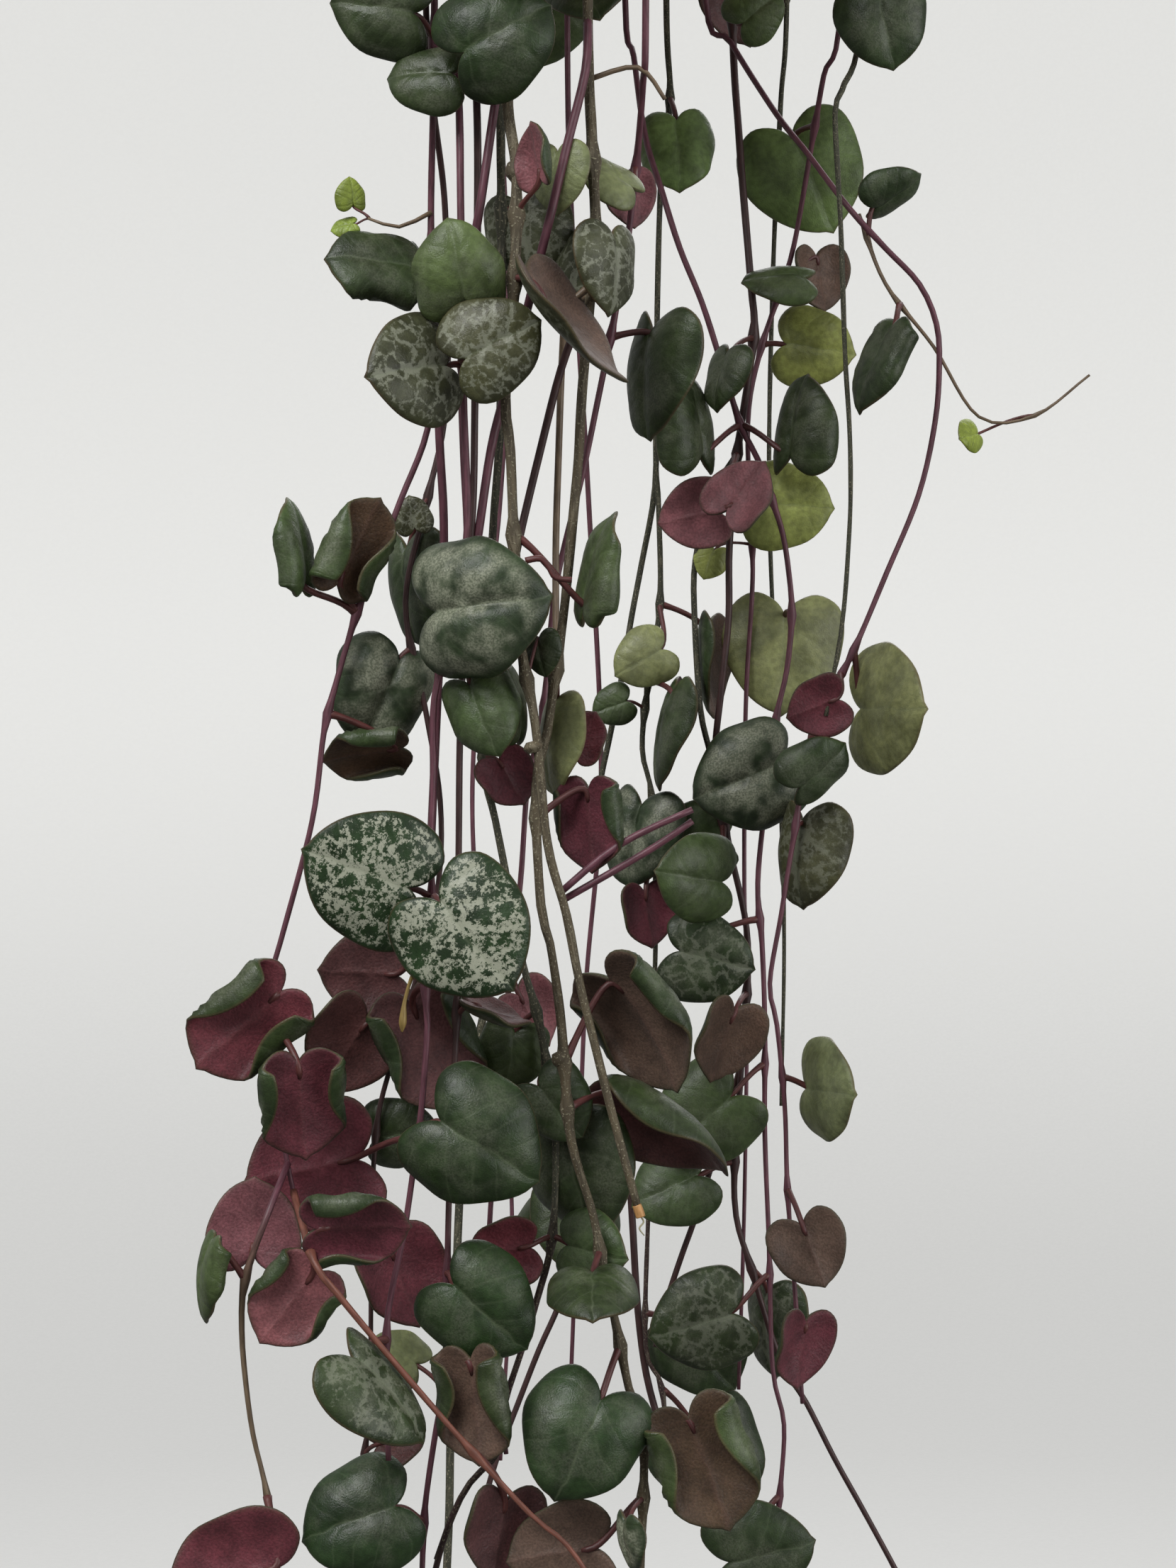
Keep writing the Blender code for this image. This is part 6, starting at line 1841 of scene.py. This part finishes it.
class StudioSettings(PropertyGroup):
    paper: tone_setting("Backdrop", "Colour of the paper sweep", "D8D8D6")
    # Painted light: how brightly the sweep glows of itself; no lamp stands behind it
    paper_light: amount_setting("Backdrop light", "How brightly the sweep is lit through from behind", 0.68)
    drop: amount_setting("Floor drop", "How far the floor lies under the hook", 0.95, **LENGTH)
    reach: amount_setting("Sweep radius", "How far the sweep stands from the plant", 3.2, **LENGTH)
    key_power: amount_setting("Key light", "Power of the large light above the front", 24.0, **POWER)
    fill_power: amount_setting("Fill light", "Power of the lights from the right and the back", 9.0, **POWER)
    world_strength: amount_setting("Room light", "Strength of the even light from the room", 0.46)


def tones_of(group):
    """Every colour setting of a group by its name."""
    return {
        key: tuple(getattr(group, key)) for key in group.__annotations__
        if group.bl_rna.properties[key].type == "FLOAT" and group.bl_rna.properties[key].array_length == 3
    }


class PlantOperator:
    """What all the operators share."""

    bl_options = {"REGISTER", "UNDO"}


class PLANT_OT_strands(PlantOperator, Operator):
    """Grow every trailing strand with its stem, stalks and heart-shaped leaves"""

    bl_idname = "plant.strands"
    bl_label = "Grow strands"

    def execute(self, context):
        group = context.scene.foliage
        looks = [leaf_upper(), leaf_under(), young_stem(), woody_stem()]
        strands = lay_strands()
        room = Room()
        block_room(room, strands)
        grown = grow_leaves(room, strands)
        tones = tones_of(group)
        for number, laid in enumerate(strands):
            name = laid.plan.name
            mesh = strand_mesh(laid, grown[name], tones, group.leaf_thickness, number)
            put_in_place(mesh.build(name + "_fine", looks), name)
        return {"FINISHED"}


class PLANT_OT_pot(PlantOperator, Operator):
    """Turn the hanging pot with its rim, drainage holes and wire holes"""

    bl_idname = "plant.pot"
    bl_label = "Make pot"

    def execute(self, context):
        floor = POT_BASE + POT_FLOOR
        under_rim = RIM_TOP - RIM_THICKNESS
        profile = [
            (0, floor),
            (pot_radius(floor, True), floor),
            (pot_radius(RIM_TOP, True), RIM_TOP),
            (RIM_RADIUS, RIM_TOP),
            (RIM_RADIUS, under_rim),
            (pot_radius(under_rim, False), under_rim),
            (pot_radius(POT_BASE, False), POT_BASE),
            (0, POT_BASE),
        ]
        shape = turned_shape(rounded(profile, EDGE_ROUNDING), POT_FINE_STEPS)
        look = pot_plastic(context.scene.pot.plastic)
        pot = shape_piece("pot_fine", shape, look, "pot")
        drains = [at_azimuth(tau * (i + 0.5) / DRAIN_HOLES, DRAIN_CIRCLE, 0) for i in range(DRAIN_HOLES)]
        drilled(pot, drains, DRAIN_RADIUS, POT_BASE - DRILL_PAST, floor + DRILL_PAST)
        eyes = [at_azimuth(radians(azimuth), WIRE_RIM_CIRCLE, 0) for azimuth in WIRE_AZIMUTHS]
        drilled(pot, eyes, WIRE_HOLE_RADIUS, under_rim - DRILL_PAST, RIM_TOP + DRILL_PAST)
        return {"FINISHED"}


class PLANT_OT_soil(PlantOperator, Operator):
    """Fill the pot with potting mix, bark and perlite"""

    bl_idname = "plant.soil"
    bl_label = "Fill soil"

    def execute(self, context):
        group = context.scene.pot
        draw = random.Random(SEED)
        wall = pot_radius(SOIL_TOP, True) - SEAT_GAP
        floor = POT_BASE + POT_FLOOR + SEAT_GAP
        rings = [wall * i / SOIL_RINGS for i in range(SOIL_RINGS + 1)]
        profile = [(radius, soil_height(radius)) for radius in rings]
        profile += [(pot_radius(floor, True) - SEAT_GAP, floor), (0, floor)]
        points, faces = turned_shape(profile, POT_FINE_STEPS)
        for point in points:
            radius = hypot(point.x, point.y)
            if point.z > SOIL_TOP - 0.001 and radius < wall - 0.0005:
                point.z += 0.0007 * noise.noise(point * 260) + 0.0004 * noise.noise(point * 900) - 0.0003
        peat = loose_mix("Peat_loose", group.peat, "6A5340", 1.2)
        bark = loose_mix("Bark_chipped", group.bark, "A07B55", 1.6)
        perlite = loose_mix("Perlite_expanded", group.perlite, "F2F0EA", 0.8)
        shape_piece("soil_fine", (points, faces), peat, "soil")
        kinds = (("soil_peat_crumbs", peat, 0.62, 0.0011, 1.0), ("soil_bark", bark, 0.26, 0.0017, 0.4),
                 ("soil_perlite", perlite, 0.12, 0.0010, 0.9))
        for name, look, share, size, flat in kinds:
            shapes = []
            for _ in range(int(group.crumbs * share)):
                radius = wall * sqrt(draw.random()) * 0.955
                spot = at_azimuth(draw.uniform(0, tau), radius, soil_height(radius))
                if any(hypot(spot.x - x, spot.y - y) < r + 0.001 for x, y, r in TUBERS):
                    continue
                shapes.append(lump(draw, spot, size * draw.uniform(0.6, 1.3), flat))
            shape_piece(name, merged(shapes), look, "soil", smooth=False)
        return {"FINISHED"}


class PLANT_OT_tubers(PlantOperator, Operator):
    """Set the small tubers on the potting mix"""

    bl_idname = "plant.tubers"
    bl_label = "Set tubers"

    def execute(self, context):
        look = loose_mix("Tuber_skin_dry", context.scene.pot.tuber, "B79B76", 1.4)
        for number, tuber in enumerate(TUBERS, 1):
            node = f"tuber_{number}"
            shape_piece(node + "_fine", tuber_shape(*tuber, fine=True), look, node)
        return {"FINISHED"}


class PLANT_OT_hanger(PlantOperator, Operator):
    """Bend the hook and the three wires, and turn the hub that holds them"""

    bl_idname = "plant.hanger"
    bl_label = "Make hanger"

    def execute(self, context):
        group = context.scene.pot
        steel = zinc_steel(group.steel)
        low = HUB_TOP - HUB_THICKNESS
        disc = [(0, HUB_TOP), (HUB_RADIUS, HUB_TOP), (HUB_RADIUS, low), (0, low)]
        shape = turned_shape(rounded(disc, EDGE_ROUNDING), POT_FINE_STEPS)
        look = pot_plastic(group.plastic)
        hub = shape_piece("hanger_hub_fine", shape, look, "hanger_hub")
        middle = Vector((0, 0, 0))
        eyes = [at_azimuth(radians(azimuth), HUB_HOLE_CIRCLE, 0) for azimuth in WIRE_AZIMUTHS]
        drilled(hub, [middle], HOOK_WIRE_RADIUS + HOOK_HOLE_PLAY, low - MM, HUB_TOP + MM)
        drilled(hub, eyes, WIRE_HOLE_RADIUS, low - MM, HUB_TOP + MM)
        under = low - SEAT_GAP
        hook = round_wire(evened(hook_points(), 0.6 * MM), HOOK_WIRE_RADIUS, 20)
        head = headed_rod(middle, under - HOOK_HEAD_LENGTH, under, HOOK_HEAD_RADIUS)
        shape_piece("hanger_hook_fine", merged([hook, head]), steel, "hanger_hook")
        seats = (
            (HUB_HOLE_CIRCLE, HUB_TOP + SEAT_GAP),
            (WIRE_RIM_CIRCLE, RIM_TOP - RIM_THICKNESS - SEAT_GAP - WIRE_HEAD_LENGTH),
        )
        for number, azimuth in enumerate(WIRE_AZIMUTHS, 1):
            shapes = [round_wire(evened(wire_points(azimuth), 1.2 * MM), WIRE_RADIUS, 14)]
            for circle, foot in seats:
                place = at_azimuth(radians(azimuth), circle, 0)
                shapes.append(headed_rod(place, foot, foot + WIRE_HEAD_LENGTH, WIRE_HEAD_RADIUS))
            node = f"hanger_wire_{number}"
            shape_piece(node + "_fine", merged(shapes), steel, node)
        return {"FINISHED"}


class PLANT_OT_studio(PlantOperator, Operator):
    """Set up the pale floor and sweep, the soft lights and the camera"""

    bl_idname = "plant.studio"
    bl_label = "Set up studio"

    def execute(self, context):
        group = context.scene.studio
        scene = context.scene
        profile = [(0, -group.drop), (group.reach - SWEEP_BEND, -group.drop)]
        for i in range(1, SWEEP_STEPS + 1):
            angle = radians(90 * i / SWEEP_STEPS)
            out, up = SWEEP_BEND * sin(angle), SWEEP_BEND * (1 - cos(angle))
            profile.append((group.reach - SWEEP_BEND + out, up - group.drop))
        profile.append((group.reach, SWEEP_TOP))
        sweep = new_object("studio_sweep", *turned_shape(profile, POT_FINE_STEPS))
        sweep.data.materials.append(backdrop_paper(group.paper, group.paper_light))
        sweep.data.shade_smooth()
        # The sweep's painted glow lights nothing else: it is hidden from diffuse and glossy rays
        sweep.visible_diffuse = sweep.visible_glossy = False
        for name, place, size, power in (
            ("key_light", (-0.62, -1.05, 0.72), 0.9, group.key_power),
            ("fill_light", (1.2, -0.75, -0.25), 1.0, group.fill_power),
            ("back_light", (0.3, 1.3, 0.6), 1.2, group.fill_power),
        ):
            lamp = bpy.data.lights.new(name, "AREA")
            lamp.shape = "SQUARE"
            lamp.size = size
            lamp.energy = power
            holder = bpy.data.objects.new(name, lamp)
            holder.location = place
            holder.rotation_euler = (LIGHTS_AIM - Vector(place)).to_track_quat("-Z", "Y").to_euler()
            holder.visible_camera = False
            scene.collection.objects.link(holder)
        world = bpy.data.worlds.new("studio_room")
        world.use_nodes = True
        scene.world = world
        add = partial(add_node, world.node_tree)
        parts = add(SPLIT, (add(PLACES).outputs["Generated"],))
        sky = add(RANGE, (parts.outputs["Z"], -0.6, 0.9, 0.0, 1.0), **SOFT)
        sky = add(MIX, {0: sky, 6: linear("A8A8A4"), 7: linear("FFFFFF")}, **COLOUR)
        feed(world.node_tree.nodes["Background"], {"Color": sky, "Strength": group.world_strength})
        lens = bpy.data.cameras.new("studio_camera")
        lens.sensor_fit = "VERTICAL"
        lens.sensor_height = SENSOR_MM
        lens.lens = SENSOR_MM * VIEW_DISTANCE / (2 * VIEW_HALF_HEIGHT * VIEW_UNIT)
        lens.clip_start = 0.02
        lens.clip_end = 20.0
        camera = bpy.data.objects.new("studio_camera", lens)
        camera.location = (VIEW_CENTRE_X, FRONT_PLANE - VIEW_DISTANCE, VIEW_CENTRE_Z)
        camera.rotation_euler = (radians(90), 0, 0)
        scene.collection.objects.link(camera)
        scene.camera = camera
        scene.view_settings.view_transform = "Standard"
        return {"FINISHED"}


class PLANT_PT_panel(Panel):
    """The sidebar panel that lists the plant's operators and settings"""

    bl_idname = "PLANT_PT_panel"
    bl_label = "Potted string of hearts"
    bl_space_type = "VIEW_3D"
    bl_region_type = "UI"
    bl_category = "Plant"

    def draw(self, context):
        for operator in OPERATORS:
            self.layout.operator(operator.bl_idname)
        for name in GROUPS:
            group = getattr(context.scene, name)
            box = self.layout.box()
            for key in group.__annotations__:
                box.prop(group, key)


OPERATORS = (
    PLANT_OT_strands, PLANT_OT_pot, PLANT_OT_soil, PLANT_OT_tubers, PLANT_OT_hanger, PLANT_OT_studio,
)
GROUPS = {"foliage": FoliageSettings, "pot": PotSettings, "studio": StudioSettings}
CLASSES = (*GROUPS.values(), *OPERATORS, PLANT_PT_panel)


def register():
    for made in CLASSES:
        bpy.utils.register_class(made)
    for name, group in GROUPS.items():
        setattr(bpy.types.Scene, name, PointerProperty(type=group))


def unregister():
    for name in GROUPS:
        delattr(bpy.types.Scene, name)
    for made in reversed(CLASSES):
        bpy.utils.unregister_class(made)


def main():
    register()
    bpy.ops.plant.strands()
    bpy.ops.plant.pot()
    bpy.ops.plant.soil()
    bpy.ops.plant.tubers()
    bpy.ops.plant.hanger()
    bpy.ops.plant.studio()
    bpy.context.view_layer.update()


if __name__ == "__main__":
    main()
